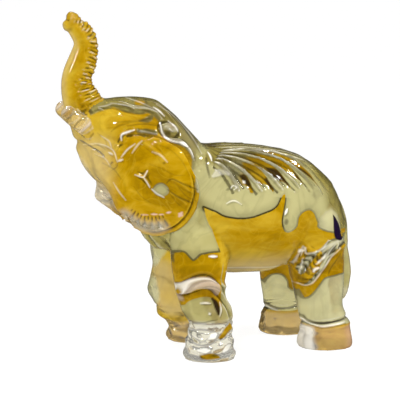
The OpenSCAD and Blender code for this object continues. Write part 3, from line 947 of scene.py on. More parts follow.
# Pale places on the amber head, in the head's frame
CROWN_PALE = [
    (-59.4, 86), (-57.1, 86.9), (-54.2, 87.6), (-51.7, 88.5), (-50.1, 88.2), (-48.2, 87.3), (-45.9, 86.7),
    (-42.4, 86.2), (-39.9, 86.5), (-37.6, 85.1), (-36, 83), (-36.2, 80.5), (-33, 77.2), (-27.2, 74.4),
    (-24.4, 69.8), (-24.5, 60), (-10, 60), (-10, 98), (-62, 98), (-60.5, 89)]
BROW_PALE = [(-44.5, 81.4), (-40.1, 80.9), (-37, 80.4), (-37.5, 79.2), (-41, 79.8), (-44, 80.2)]
STROKE_PALE = [(-43.4, 83.9), (-40.4, 85.3), (-37.8, 86.4), (-38, 84.8), (-40.1, 83.6)]
EAR_PALE = [
    (-39.8, 61.2), (-38.5, 62.8), (-36.5, 63.2), (-34.8, 61.8), (-34.6, 60), (-36.3, 58.7), (-38.4, 59.5)]
HEAD_PALE = [CROWN_PALE, BROW_PALE, STROKE_PALE, EAR_PALE]
CROWN_AMBER = [(-43.4, 90.4), (-40.4, 90.4), (-39.8, 89.6), (-41, 88.9), (-43.6, 89.1)]

# Tip of a tusk in the head's frame, X and Z, and the way from it to the root
TUSK_TIP, TUSK_WAY = np.array([-67.8, 88.6]), np.array([0.66, -0.75])

# Painted highlights where folds catch the light: half width, strength, then X and Z along each
HEAD_GLEAMS = [
    (0.2, 0.45, [(-56.4, 79), (-53.8, 77.2), (-53, 74.6)]),
    (0.2, 0.4, [(-58.4, 72.6), (-55.2, 71.2), (-53.6, 68.6)]),
    (0.2, 0.35, [(-52.6, 63), (-50.6, 59.6), (-48.6, 57)]),
    (0.15, 0.4, [(-46, 91.2), (-41, 89.6), (-36.8, 87.4)]),
    (0.3, 0.8, [(-37.2, 88.2), (-35.3, 86.9), (-33.7, 85.2)]),
    (0.3, 0.8, [(-32.4, 83.5), (-30.8, 82), (-29.2, 79.8)]),
    (0.4, 1.0, [(-35.6, 82.7), (-35.4, 80.5), (-34.4, 78.6), (-32.5, 77.3), (-29.9, 76.5), (-27.8, 76.1)]),
    (0.6, 1.0, [(-29.4, 76.5), (-27.8, 76), (-26.2, 74.8)]),
    (0.3, 0.8, [(-26.2, 74.8), (-24.9, 73.2), (-24, 71)]),
    (0.3, 0.7, [(-33.1, 81.5), (-31.6, 80.3)]),
    (0.3, 0.9, [(-49.8, 77.8), (-49.5, 79.6), (-47.4, 80.6), (-45.2, 81.2)]),
    (0.12, 0.9, [(-45.7, 66.1), (-43.1, 65.5), (-41.8, 67.6)]),
    (0.12, 0.9, [(-43.1, 65.5), (-41.8, 63.5), (-40.9, 61.8)]),
    (0.25, 0.3, [(-46.5, 73.6), (-44.8, 76), (-43, 77.7)]),
    (0.25, 0.35, [(-40, 74.2), (-37.4, 73.2), (-35.1, 70.8)]),
    (0.2, 0.5, [(-61.6, 75.2), (-57.2, 76.2), (-52.7, 74.3), (-51.3, 70.3)]),
    (0.35, 0.6, [(-54, 73.4), (-52.8, 72.8)]),
    (0.3, 0.6, [(-51, 70.6), (-49.6, 71.2)]),
    (0.2, 0.8, [(-40.2, 61.2), (-38.4, 59.7), (-36.1, 58.4)]),
    (0.15, 0.5, [(-35.9, 89), (-31, 85.9), (-26.8, 81.8), (-22.9, 76.4), (-20.4, 71.6)]),
    (0.15, 0.5, [(-28, 85.4), (-24.8, 80), (-21.2, 73.8)]),
    (0.15, 0.5, [(-51.9, 89.7), (-47.2, 89.2), (-43.8, 88.3), (-39.4, 87.9), (-35, 86.4)]),
    (0.15, 0.4, [(-56.6, 88.6), (-54, 88.9), (-51.4, 89.6)]),
    (0.2, 0.5, [(-50, 72), (-48, 74.6), (-45.4, 76.6)]),
]
BODY_GLEAMS = [
    (0.4, 0.5, [(-18, 30.8), (-6.7, 30.2), (1.8, 29.5), (9, 29.4)]),
    (0.25, 0.6, [(-18.6, 55.2), (-16.9, 56), (-15.1, 55.9), (-13.2, 54.7)]),
    (0.25, 0.45, [(10.5, 31.4), (11.2, 33.8), (12.8, 37.5), (13.2, 35.2), (15.3, 35.6), (17.8, 36.6),
                  (21.6, 39.4)]),
    (0.25, 0.5, [(11.4, 24.2), (12.8, 23.8), (14.5, 24.8), (16.2, 27.2), (17.9, 29.8), (21.4, 33.9),
                 (26, 36.6)]),
    (0.4, 0.8, [(14.8, 29), (15.2, 29.8), (16.2, 30.4)]),
    (0.25, 0.7, [(16, 31.6), (18.4, 33.6), (19.4, 35)]),
    (0.2, 0.5, [(18.6, 32.2), (21.4, 36), (24.4, 38.2)]),
    (0.4, 0.8, [(11.6, 35.4), (12, 36.2), (12.6, 36.4)]),
    (0.2, 0.5, [(11.4, 28), (12, 31), (12.4, 33.4)]),
    (0.3, 0.9, [(-29.4, 21.1), (-27.8, 21.2), (-26.2, 21)]),
    (0.4, 0.9, [(-26.6, 17.6), (-26.2, 17)]),
    (0.3, 0.8, [(-22.4, 21), (-22, 18.4), (-22.4, 16)]),
    (0.3, 0.7, [(-34.4, 22), (-35, 25.4), (-33.4, 28), (-30.2, 29.6), (-26.6, 29.6), (-24.2, 28.4)]),
    (0.9, 0.8, [(-26.4, 8.4), (-24, 9.8)]),
    (0.8, 0.8, [(-29.8, 4.2), (-26.8, 4.4)]),
    (1.0, 0.8, [(-21.4, 3.8), (-18.4, 5.4)]),
    (0.4, 0.9, [(-25.6, 37.2), (-22.6, 36.9)]),
    (0.3, 0.8, [(14, 10.9), (15.4, 9.6), (18.5, 8.7), (23, 9.1), (28, 9.6)]),
    (0.5, 0.9, [(4.6, 52), (3.6, 50.2)]),
    (0.35, 0.9, [(-20.6, 72.4), (-19.9, 71.3), (-20.3, 69.4)]),
    (1.0, 0.4, [(-21.5, 64.4), (-18.8, 65.7), (-16.9, 65.2)]),
    (0.2, 0.8, [(-16.2, 60.2), (-15.6, 61.2), (-14.6, 60.6), (-15.4, 59.8)]),
    (0.5, 0.8, [(-11.2, 62.4), (-10.8, 61.8)]),
]
# Dark lines, in the same way
HEAD_SHADES = [
    (0.25, 0.45, [(-58, 87.4), (-53, 88.2), (-49, 87.6), (-45, 86.4), (-41, 86.6)]),
    (0.2, 0.4, [(-40, 91.2), (-35, 88), (-31, 83.6), (-28.4, 79.8)]),
    (0.3, 0.35, [(-53, 80.6), (-50.6, 82.4), (-47, 83.4)]),
    (0.2, 0.35, [(-57.6, 80), (-55, 77.6), (-54.4, 74.8)]),
    (0.25, 0.4, [(-56, 69.6), (-52.4, 67.6), (-50.2, 64.4)]),
    (0.35, 0.8, [(-49.7, 89.4), (-47.1, 88.8), (-44.6, 87.5)]),
    (0.8, 0.7, [(-34.2, 80.2), (-32.6, 79.2)]),
    (0.5, 0.9, [(-64.8, 87.4), (-63.3, 86.8)]),
    (0.7, 0.7, [(-59.6, 87.1), (-59, 86.9)]),
    (0.3, 0.6, [(-35.2, 63.5), (-33.5, 64.9), (-29.7, 63.2), (-24.3, 60.8)]),
    (0.3, 0.6, [(-34.8, 61.1), (-31.3, 58.6), (-26.3, 56.2)]),
    (0.3, 0.4, [(-60, 66.6), (-58, 63.4), (-55.6, 61.6)]),
    (0.2, 0.5, [(-52.9, 89.1), (-47.9, 88.5), (-44.6, 87.6), (-39.7, 87.1), (-35.2, 85.6), (-32.8, 83.2)]),
    (0.2, 0.45, [(-49.7, 89.7), (-45.6, 88.2), (-43, 86.9)]),
    (0.2, 0.5, [(-36.7, 89.7), (-31.9, 86.7), (-27.7, 82.6), (-23.6, 77), (-21, 71.9)]),
    (0.15, 0.45, [(-28.8, 84.6), (-25.7, 79.5), (-22, 73.4)]),
    (0.4, 0.35, [(-50.4, 83.8), (-44.5, 84), (-39.1, 84.9)]),
    (0.2, 0.5, [(-47.5, 82.5), (-41.8, 83), (-35.7, 82.1)]),
    (0.15, 0.4, [(-32.2, 63.2), (-28.6, 58.9), (-24.6, 56.8)]),
    (0.15, 0.35, [(-34.4, 60), (-31.6, 56.4), (-28, 53.6)]),
    (0.15, 0.35, [(-33, 64), (-29.4, 61.2), (-25, 59)]),
    (0.15, 0.3, [(-41, 70), (-37, 68.6), (-33, 66.4), (-29, 66)]),
    (0.15, 0.3, [(-46, 62), (-43.6, 58.6), (-40.4, 56.4)]),
    (0.15, 0.3, [(-39, 77), (-34, 75), (-30, 71), (-27.4, 66)]),
    (0.15, 0.5, [(-39.9, 61.4), (-38.5, 62.9), (-36.5, 63.3), (-34.8, 61.9)]),
    (0.5, 0.5, [(-36.4, 70.6), (-36, 70.4)]),
]
BODY_SHADES = [
    (1.0, 1.0, [(-25.3, 22.5), (-24.2, 20.9), (-23.6, 19.1), (-23, 17)]),
    (0.25, 0.8, [(-30.3, 10.3), (-28.6, 11.2), (-26.3, 11.2), (-25.2, 10.8), (-24.3, 11.8), (-23.5, 12.1)]),
    (0.3, 0.8, [(-30.7, 6.8), (-29.7, 6.1), (-27.6, 6), (-25.1, 7.1), (-23.1, 9.4)]),
    (0.2, 0.6, [(-29.8, 12.9), (-28.5, 13.4), (-26, 14.4), (-23.2, 14.9)]),
    (0.2, 0.6, [(19.6, 27.4), (22, 31), (26, 34.4)]),
    (0.35, 0.85, [(13.9, 12.2), (15, 10.7), (18.5, 9.7), (23, 10.1), (28, 10.6)]),
    (0.8, 0.9, [(-10, 62), (-9.4, 61)]),
    (0.3, 0.7, [(-18, 59.8), (-16.6, 60.1)]),
    (0.9, 0.6, [(4.2, 48), (4.4, 46.8)]),
    (0.6, 0.8, [(-35.2, 22), (-34.4, 21.2)]),
    (0.7, 0.6, [(12.4, 30), (13.4, 28)]),
    (0.6, 0.5, [(16.6, 33.4), (19.8, 35.6), (23, 37.4)]),
    (0.5, 0.8, [(-17.6, 73.5), (-14.6, 73.3)]),
    (0.3, 0.8, [(-21.6, 71), (-22.5, 67.7), (-22.7, 64)]),
    (0.25, 0.7, [(-18.6, 72.2), (-17.6, 70.4), (-18.4, 68.6)]),
    (0.25, 0.7, [(-17.4, 72.6), (-15.6, 71.6), (-13.6, 70.8)]),
    (0.25, 0.6, [(-17.2, 71), (-15.8, 69.4), (-14.2, 68)]),
]
# Nearly black place on the rump, seen from the side
RUMP_INK = [(26.2, 47.8), (27.6, 46), (28.9, 43), (28.7, 39.4), (25.2, 39.6), (25.1, 43.2)]
# Rosy marks on the ears, in the same way
PINK_MARKS = [
    (0.15, 0.6, [(-43.5, 51.9), (-41.2, 51.9)]),
    (0.25, 0.7, [(-40, 52.2), (-38.2, 52.2)]),
    (0.2, 0.6, [(-37.4, 52.1), (-36, 52.2)]),
    (0.3, 0.7, [(-34.9, 52.8), (-33.6, 53)]),
    (0.9, 0.6, [(-30.4, 51.6), (-29.8, 52.6)]),
]
# How far above its painted shadow line a painted highlight lies, X and Z, and how strong that line is
HIGHLIGHT_SHADOW, SHADOW_STRENGTH = np.array([-0.35, 0.5]), 0.6

# An amber distance that is far outside every swirl, and what the glass is like where nothing else is painted
NO_AMBER = -9
PLAIN = {"amber_mm": NO_AMBER, "tone": 0.25, "milk": 0.65, "veil": 0.3}


class Look(dict):
    """What the glass is like at some points: an array for each name in PAINT."""

    def __init__(self, count):
        super().__init__((name, np.full(count, PLAIN.get(name, 0), float)) for name in PAINT)

    def set(self, **values):
        """Replaces what is painted, by arrays or by plain numbers."""
        for name, value in values.items():
            self[name][:] = value

    def over(self, **values):
        """Paints over what is there, where the new values are higher."""
        for name, value in values.items():
            self[name] = np.maximum(self[name], value)


def strokes(points, rows):
    """How strongly each point is covered by the strokes."""
    cover = np.zeros(len(points))
    for half_width, strength, stations in rows:
        gap, where, length = along(points, fine_line(stations, 4))
        taper = np.sin(math.pi * np.clip(where / length, 0.08, 0.92)) ** 0.5
        cover = np.maximum(cover, strength * smooth_step(half_width * taper - gap, -0.25, 0.2))
    return cover


def lines(points, gleams, shades):
    """How strongly painted highlights and dark lines cover each point: each highlight has a painted shadow
    line below it too.
    """
    # Each painted highlight has a painted shadow line just below it
    below = strokes(points + HIGHLIGHT_SHADOW, gleams)
    gleam = strokes(points, gleams)
    return gleam, np.maximum(strokes(points, shades), SHADOW_STRENGTH * below * (1 - gleam))


def patches(points, outlines):
    """Distance inside the nearest of some outlines, negative outside them all."""
    return np.max([inside(points, outline) for outline in outlines], 0)


def paint_trunk(points, look):
    """Amber, lighter at the back, with broken lines of painted highlight between the creases and painted
    shade in them.
    """
    where, facing, creased = trunk_places(points)
    wave = crease_wave(where, facing)
    broken = smooth_step(np.sin(5 * facing + 1.7 * where), 0.2, 0.9)
    look.set(
        amber_mm=9,
        tone=0.15 + 0.75 * smooth_step(-facing, 0.2, 0.9),
        clear=0.15 * smooth_step(-facing, 0.6, 1.0))
    # Painted highlights between the creases and painted shade in them, broken into turns
    look.over(
        gleam=0.5 * creased * smooth_step(wave, 0.8, 1.0) * broken,
        shade=0.5 * creased * fall(wave, 0.1, 0.5) * (1 - broken))


def paint_ear(points, hand, look):
    """Milky amber, clear along its pleats and pale behind its rim, with rosy flecks."""
    reach, angle = to_ear(points, hand)
    fringe = hump(reach, 0.8, 0.2) * band(-angle, 60, 78, 134, 150)
    skirt = smooth_step(reach, 1.0, 1.04) * band(angle, -100, -85, 30, 50)
    flecks = strokes(points[:, (0, 2)], PINK_MARKS)
    look.set(
        amber_mm=np.where(skirt > 0.5, -3, look["amber_mm"]),
        tone=look["tone"] - 0.12,
        milk=0.9, veil=0.7, deep=0.3, blush=flecks)
    look.over(clear=0.75 * fringe, gleam=0.3 * flecks)


def paint_tusk(points, look):
    """Nearly clear honey, with rosy painted highlights at the tip and the root, and light and dark streaks
    across.
    """
    y = points[:, 1]
    reach = (points[:, (0, 2)] - TUSK_TIP) @ TUSK_WAY
    # Rosy painted highlights round the tip and the root
    rim = np.maximum(hump(reach, 0.2, 1.2), hump(reach, 9.2, 1.1))
    light = smooth_step(np.sin(2.2 * reach + 0.9 * y), 0.5, 0.9)
    dark = smooth_step(np.sin(1.9 * reach - 1.2 * y + 2), 0.75, 0.95)
    look.set(
        amber_mm=1, tone=1, milk=0.3,
        clear=np.clip(0.15 - 0.1 * (reach - 9), 0, 0.15),
        blush=0.06 + 0.2 * rim,
        gleam=np.maximum(0.4 * rim, 0.2 * light),
        shade=0.5 * dark)


def paint_head(name, points, look):
    """Paints a piece of the head, given its points in the head's frame."""
    x, _, z = points.T
    side = points[:, (0, 2)]
    gleam, shade = lines(side, HEAD_GLEAMS, HEAD_SHADES)
    look.set(
        amber_mm=0.5 * np.maximum(-patches(side, HEAD_PALE), inside(side, CROWN_AMBER)),
        tone=0.15 + 0.75 * smooth_step(-x, 46, 60),
        deep=0.75 - 0.4 * smooth_step(x, -32, -24),
        clear=0.85 * hump(np.linalg.norm(points - FAR_LOBE, axis=1), 0, 9),
        outline=0.25, veil=0.4, gleam=gleam, shade=shade)
    if name == "trunk":
        paint_trunk(points, look)
    elif name.endswith("tusk"):
        paint_tusk(points, look)
    else:
        cheek = 0.16 * smooth_step(-x, 50, 57) * fall(z, 74, 82)
        muzzle = 0.4 * hump(np.linalg.norm(points - MUZZLE, axis=1), 0, 10)
        look.over(gleam=np.maximum(cheek, muzzle))
    if name.endswith("ear"):
        paint_ear(points, hand_of(name), look)


def paint_flutes(points, fan, look):
    """Painted highlights on the crests, painted shade beside them and in the hollows between them, darkest in
    the umber places, and amber in the hollows.
    """
    gap, share = flute_places(points)
    ends = band(share, 0.02, 0.1, 0.92, 1.0)
    narrow = 0.6 + 1.9 * smooth_step(share, 0.6, 0.95)
    valley = fan * smooth_step(gap - narrow, -0.2, 0.4) * band(share, 0.02, 0.1, 0.86, 0.94)
    hollow = valley * smooth_step(share, 0.2, 0.45) * smooth_step(points[:, 0], -15, -8)
    umber = smooth_step(patches(points[:, (0, 2)], FLUTE_HOLLOW_SHADE), -0.3, 0.5)
    # Painted shade beside each crest and in the hollows between the flutes
    crest_side_shade = 0.6 * ends * hump(gap, 0.75, 0.35)
    hollow_shade = valley * (0.25 + 0.2 * fall(share, 0.3, 0.6) + 0.7 * umber)
    look.over(
        amber_mm=np.where(hollow > 0.05, 0.8 * hollow - 0.4, NO_AMBER),
        gleam=0.75 * ends * smooth_step(-gap, -0.5, -0.15),
        shade=np.maximum(crest_side_shade, hollow_shade))
    look.set(outline=np.where(fan > 0.1, 0.1, look["outline"]))


def paint_spine(points, fan, look):
    """Painted highlight lines along the back, each with a painted shade line outside it."""
    x, y, z = points.T
    back = smooth_step(z, 65, 68) * smooth_step(x, -17, -12) * (1 - fan)
    for beside in SPINE_LINES:
        look.over(
            gleam=0.6 * back * hump(np.abs(y), beside, 0.4),
            shade=0.65 * back * hump(np.abs(y), beside + 0.8, 0.6))


def paint_torso(points, look):
    """Pale flanks over an amber belly, deep at the chest, the rump and the spine."""
    x, _, z = points.T
    chest = fall(x, -30, -22) * fall(z, 54, 62)
    rump = smooth_step(x, 18, 28)
    spine = smooth_step(z, 67, 71)
    nape = hump(np.hypot(x + 18, z - 71.5), 0, 6)
    haunch = smooth_step(x, 10, 18) * smooth_step(z, 56, 62)
    belly = fall(z, 31, 42)
    # The belly's amber has a dark edge along its top, and hardly any below that at the shoulder
    outline = 0.1 + 0.9 * smooth_step(z, 42, 46) * (1 - 0.5 * smooth_step(x, 2, 8))
    below_top = 54.1 - 0.41 * (x + 26.3) - z
    outline *= 1 - 0.85 * smooth_step(below_top, 0.8, 2) * fall(x, -19, -16)
    look.set(
        outline=outline,
        deep=np.clip(0.75 * chest + 0.8 * rump + 0.75 * spine + nape + 0.5 * haunch, 0, 1),
        tone=0.2 + 0.4 * fall(x, -22, -8) + 0.8 * belly)
    # Painted light: the underside of the belly is whitened where light shines through the glass
    look.over(gleam=0.22 * belly * fall(z, 30, 38))
    fan = smooth_step(inside(points[:, (0, 2)], flute_fan()), -0.2, 0.5)
    paint_flutes(points, fan, look)
    paint_spine(points, fan, look)


def paint_left_fore_leg(points, look):
    """Amber above and below a pale roll at the knee, with a clear foot."""
    x, _, z = points.T
    roll_mm = inside(points[:, (0, 2)], KNEE_PALE)
    roll = smooth_step(roll_mm, -0.3, 0.5)
    amber_mm = np.minimum(look["amber_mm"], -roll_mm)
    foot = fall(z, 12, 15) * fall(amber_mm, -0.3, 0.3)
    wrinkle = smooth_step(np.sin(2.6 * (knee_arch(points) - z) + 0.5 * x), 0.6, 0.95)
    look.set(
        amber_mm=amber_mm, veil=0.6,
        outline=0.1 + 0.7 * band(z, 33, 36, 39, 40) * fall(x, -21, -20),
        tone=0.6 * smooth_step(x, -22, -20) * smooth_step(z, 30, 33),
        deep=0.4 + 0.12 * fall(z, 24, 27),
        clear=np.clip(0.85 * foot + 0.12 * roll, 0, 1),
        blush=0.28 * roll)
    look.over(gleam=0.2 * foot, shade=0.3 * roll * wrinkle)


def paint_right_fore_leg(points, look):
    """Soft honey that leaves the front of the leg pale, down to a rosy hoof."""
    x, y, z = points.T
    hoof = fall(z, 7, 9)
    front = x + 30.2 + 0.8 * np.sin(0.3 * z)
    ankle = 15 - z + 0.5 * (x + 28)
    flow = 0.5 + 0.5 * np.sin(0.35 * x + 0.5 * y + 0.8 * np.sin(0.3 * z))
    look.set(
        amber_mm=0.4 * np.maximum(front, ankle),
        tone=0.9, deep=0.1, milk=0.35,
        clear=0.2 * flow * smooth_step(z, 8, 11) + 0.2 * hoof,
        blush=0.1 * hoof)


def paint_hind_leg(points, hand, look):
    """Amber over a knotted thigh, a pale shin and a rosy hoof that is clear in front."""
    x, y, z = points.T
    side = points[:, (0, 2)]
    hoof = fall(z, 7.5, 9)
    thigh = fall(z, 33, 37) * (1 - hoof)
    if hand < 0:
        hoof_tone, hoof_clear_x = 0.1, 16.4 + 0.6 * np.sin(z * 1.3)
        look.set(veil=0.4 + 0.25 * smooth_step(x, 18, 22))
        look.over(gleam=0.75 * hoof * fall(x, 15.4, 17.4))
    else:
        hoof_tone, hoof_clear_x = 0.8, 12.6
        arch = np.maximum(inside(side, FAR_THIGH_AMBER), inside(side, HOOF_AMBER))
        outer = smooth_step(y, 13, 17)
        look.set(amber_mm=outer * look["amber_mm"] + (1 - outer) * arch, veil=0.1, milk=0.3)
        look.over(gleam=0.12 * hoof)
    knot = smooth_step(inside(side, THIGH_KNOT), -0.2, 0.4)
    look.over(
        amber_mm=np.where(knot > 0.5, 0.8 * np.sin(1.1 * x - 0.7 * z) + 0.2, NO_AMBER),
        shade=0.45 * knot * smooth_step(np.sin(0.9 * x + 1.1 * z), 0.1, 0.9))
    hoof_clear = 0.1 + 0.75 * fall(x - hoof_clear_x, -0.8, 0.8)
    look.set(
        outline=0.6 * smooth_step(z, 14, 18),
        tone=0.2 + hoof_tone * hoof - 0.25 * thigh,
        blush=hoof * (0.1 + 0.25 * smooth_step(x, 26, 30)),
        clear=0.1 * (look["amber_mm"] < -0.5) + hoof * hoof_clear)


def paint_body(name, points, look):
    """Paints the body, a leg or the tail: first its swirls and lines, then what it has of its own."""
    hand = hand_of(name)
    side = points[:, (0, 2)]
    if name in BODY_AMBER:
        look.set(amber_mm=patches(side, BODY_AMBER[name]))
    if name != "right_fore_leg":
        outer = smooth_step(hand * points[:, 1], 7, 11) if name in LEGS else 1
        gleam, shade = lines(side, BODY_GLEAMS, BODY_SHADES)
        ink = 2 * smooth_step(inside(side, RUMP_INK), -0.3, 0.4) * (hand < 0)
        look.set(gleam=outer * gleam, shade=outer * np.maximum(shade, ink))
    if name == "torso":
        paint_torso(points, look)
    elif name == "left_fore_leg":
        paint_left_fore_leg(points, look)
    elif name == "right_fore_leg":
        paint_right_fore_leg(points, look)
    elif name.endswith("hind_leg"):
        paint_hind_leg(points, hand, look)
    else:
        look.set(deep=0.4)


def paint(points, owners):
    """What the glass is like at each point of the skin, given the solid that each point is of."""
    look = Look(len(points))
    head = to_head(points)
    for index, name in enumerate(NODE_NAMES):
        mine = owners == index
        here = Look(mine.sum())
        if name in HEAD_PARTS:
            paint_head(name, head[mine], here)
        else:
            paint_body(name, points[mine], here)
        for key in PAINT:
            look[key][mine] = here[key]
    return look


# Rounds of softening that a fold stands out from, and how far a sharp crest does, in millimetres
FOLD_ROUNDS = 12
FOLD_HEIGHT = 0.12
# Rounds of softening by which the glass of one piece runs into that of the next, and what it does so for
BLEND_ROUNDS = 30
BLENDED = ("deep", "veil", "milk", "tone")
# Rounds of work on the skin: where masses flow together, on the finer skin, at the pieces' borders, at the
# edges of their relief, and on that relief
SOFT_ROUNDS, FINE_ROUNDS, BORDER_ROUNDS, EDGE_ROUNDS, LAST_ROUNDS = 160, 12, 4, 6, 2
# Height under which a face is of a sole, and under which a point is pressed flat onto the ground
SOLE_MM, FLAT_MM = 0.3, 0.25
# How strongly the front of each ear flows into the cheek, by side, and the right knee into its leg
EAR_FLOW, KNEE_FLOW = {-1: 1.0, 1: 0.4}, 0.4
# Heights over which relief begins above the soles, and the least share of a piece that gives a point relief
RELIEF_FROM, LEAST_SHARE = (0.2, 1.5), 0.01
# Swelling of the right ear's lobe: height and half width
LOBE_HEIGHT, LOBE_WIDTH = 3.2, 6


def folds(skin):
    """How sharply the skin is folded: 1 on a crest, -1 in a groove."""
    around = np.stack([skin.spread(skin.points[:, k], FOLD_ROUNDS) for k in range(3)], 1)
    return np.clip(((skin.points - around) * skin.normals()).sum(1) / FOLD_HEIGHT, -1, 1)


def flow_weight(points):
    """Where masses flow into each other: at the fronts and hems of the ears, and at the right knee."""
    head = to_head(points)
    weight = np.zeros(len(points))
    for hand in (-1, 1):
        reach, angle = to_ear(head, hand)
        front = np.where(angle > 0, smooth_step(angle, 85, 120), smooth_step(-angle, 140, 165))
        hem = 0.5 * band(angle, -85, -70, 20, 50)
        near = band(reach, 0.55, 0.85, 1.15, 1.45) * (hand * head[:, 1] > 5)
        weight = np.maximum(weight, near * np.maximum(EAR_FLOW[hand] * front, hem))
    x, y, z = points.T
    knee = smooth_step(y, 3, 6) * smooth_step(-x, 22, 27) * hump(z, 21, 9)
    return np.maximum(weight, KNEE_FLOW * knee)


def relief(name, points, head, shape):
    """Height of a piece's detail at points that are given in the figure's frame and in the head's."""
    if name in ("head", "lower_jaw"):
        return face_relief(head)
    if name == "trunk":
        return trunk_relief(head, shape.crease_depth * MM_PER_M)
    if name == "torso":
        return back_relief(points, shape.flute_height * MM_PER_M) + chest_relief(points)
    if name.endswith("ear"):
        return ear_relief(head, hand_of(name), shape.pleat_depth * MM_PER_M)
    if name in LEGS:
        return leg_relief(points, name)
    return np.zeros(len(points))


def raise_relief(skin, owners, shape):
    """Lifts each piece's detail out of the skin, given the solid that each point is of."""
    head = to_head(skin.points)
    lift = wobble(skin.points)
    lift += LOBE_HEIGHT * hump(np.linalg.norm(head - FAR_LOBE, axis=1), 0, LOBE_WIDTH)
    for index, name in enumerate(NODE_NAMES):
        share = skin.spread((owners == index).astype(float), EDGE_ROUNDS)
        mine = share > LEAST_SHARE
        lift[mine] += share[mine] * relief(name, skin.points[mine], head[mine], shape)
    lift *= smooth_step(skin.points[:, 2], *RELIEF_FROM)
    skin.points += skin.normals() * lift[:, None]
    skin.polish(LAST_ROUNDS)
    skin.points[:, 2] = np.where(skin.points[:, 2] < FLAT_MM, 0, skin.points[:, 2])


def melt_figure(shape):
    """Melts the solids into one skin, shapes its detail and paints it, ready to be cut into pieces."""
    points, faces, face_owners = solids()
    skin = melted(points, faces, shape.grain)
    skin.polish(shape.rounding)
    skin.soften(flow_weight(skin.points), SOFT_ROUNDS)
    skin = refined(skin)
    skin.polish(FINE_ROUNDS)
    labels = settle(skin, Owners(points, faces, face_owners).of(skin))
    owners = np.zeros(len(skin.points), int)
    for label, face in zip(labels, skin.faces):
        owners[list(face)] = label
    raise_relief(skin, owners, shape)
    look = paint(skin.points, owners)
    for key in BLENDED:
        look[key] = skin.spread(look[key], BLEND_ROUNDS)
    # Folds, from which the glass paints highlights on the crests and shade in the grooves
    look["fold"] = folds(skin)
    MELT.update(skin=skin, labels=labels, normals=skin.normals(), paint=look)


def rims(faces):
    """The open edges of a set of faces, chained into loops."""
    open_edges = {}
    for face in faces:
        for a, b in zip(face, face[1:] + face[:1]):
            if (b, a) in open_edges:
                del open_edges[b, a]
            else:
                open_edges[a, b] = True
    after = {}
    for a, b in open_edges:
        after.setdefault(a, []).append(b)
    loops = []
    while after:
        first = next(iter(after))
        loop = [first]
        while True:
            onward = after[loop[-1]]
            following = onward.pop()
            if not onward:
                del after[loop[-1]]
            if following == first:
                break
            loop.append(following)
        loops.append(loop)
    return loops


def cut_piece(node):
    """Cuts one solid's part out of the melted skin, closed inside by faces that don't show."""
    skin, labels = MELT["skin"], MELT["labels"]
    chosen = np.nonzero(labels == NODE_NAMES.index(node))[0]
    faces = [skin.faces[i] for i in chosen]
    used = np.unique([v for face in faces for v in face])
    new_index = {old: new for new, old in enumerate(used.tolist())}
    points = skin.points[used]
    outer = [tuple(new_index[v] for v in face) for face in faces]
    inner = []
    for loop in rims(outer):
        centre = len(points)
        points = np.vstack([points, points[loop].mean(0)])
        inner += [(b, a, centre) for a, b in zip(loop, loop[1:] + loop[:1])]
    mesh = bpy.data.meshes.new(node + "_glass")
    mesh.from_pydata(in_metres(points).tolist(), [], outer + inner)
    mesh.materials.append(MELT["glass"])
    mesh.materials.append(MELT["seam"])
    mesh.polygons.foreach_set("use_smooth", [True] * len(outer) + [False] * len(inner))
    mesh.polygons.foreach_set("material_index", [0] * len(outer) + [1] * len(inner))
    for name, values in MELT["paint"].items():
        layer = mesh.attributes.new(name, "FLOAT", "POINT")
        layer.data.foreach_set("value", np.concatenate([values[used], np.zeros(len(points) - len(used))]))
    bend = MELT["normals"][used]
    corners = [tuple(bend[v]) for face in outer for v in face]
    corners += [tuple(p.normal) for p in mesh.polygons[len(outer):] for _ in range(3)]
    mesh.normals_split_custom_set(corners)
    piece = bpy.data.objects.new(node + "_glass", mesh)
    bpy.context.scene.collection.objects.link(piece)
    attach(piece, "root")
    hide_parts(node)


class FIGURINE_OT_melt(bpy.types.Operator):
    """Melts the solids into one skin of glass, with its folds, flutes, creases and swirls"""
    bl_idname = "figurine.melt"
    bl_label = "Melt the glass"

    def execute(self, context):
        scene = context.scene
        melt_figure(scene.figurine_shape)
        MELT["glass"] = glass_material(scene.figurine_glass)
        MELT["seam"] = seam_material()
        return {"FINISHED"}


class FIGURINE_OT_torso(bpy.types.Operator):
    """Cuts out the body with its fluted back"""
    bl_idname = "figurine.torso"
    bl_label = "Body"

    def execute(self, context):
        cut_piece("torso")
        return {"FINISHED"}


class FIGURINE_OT_head(bpy.types.Operator):
    """Cuts out the head and the lower jaw"""
    bl_idname = "figurine.head"
    bl_label = "Head and jaw"

    def execute(self, context):
        for node in ("head", "lower_jaw"):
            cut_piece(node)
        return {"FINISHED"}


class FIGURINE_OT_trunk(bpy.types.Operator):
    """Cuts out the creased trunk"""
    bl_idname = "figurine.trunk"
    bl_label = "Trunk"

    def execute(self, context):
        cut_piece("trunk")
        return {"FINISHED"}


class FIGURINE_OT_ears(bpy.types.Operator):
    """Cuts out the scalloped ears"""
    bl_idname = "figurine.ears"
    bl_label = "Ears"

    def execute(self, context):
        for node in ("left_ear", "right_ear"):
            cut_piece(node)
        return {"FINISHED"}


class FIGURINE_OT_tusks(bpy.types.Operator):
    """Cuts out the clear tusks"""
    bl_idname = "figurine.tusks"
    bl_label = "Tusks"

    def execute(self, context):
        for node in ("left_tusk", "right_tusk"):
            cut_piece(node)
        return {"FINISHED"}


class FIGURINE_OT_legs(bpy.types.Operator):
    """Cuts out the four legs"""
    bl_idname = "figurine.legs"
    bl_label = "Legs"

    def execute(self, context):
        for node in LEGS:
            cut_piece(node)
        return {"FINISHED"}


class FIGURINE_OT_tail(bpy.types.Operator):
    """Cuts out the tail"""
    bl_idname = "figurine.tail"
    bl_label = "Tail"

    def execute(self, context):
        cut_piece("tail")
        return {"FINISHED"}


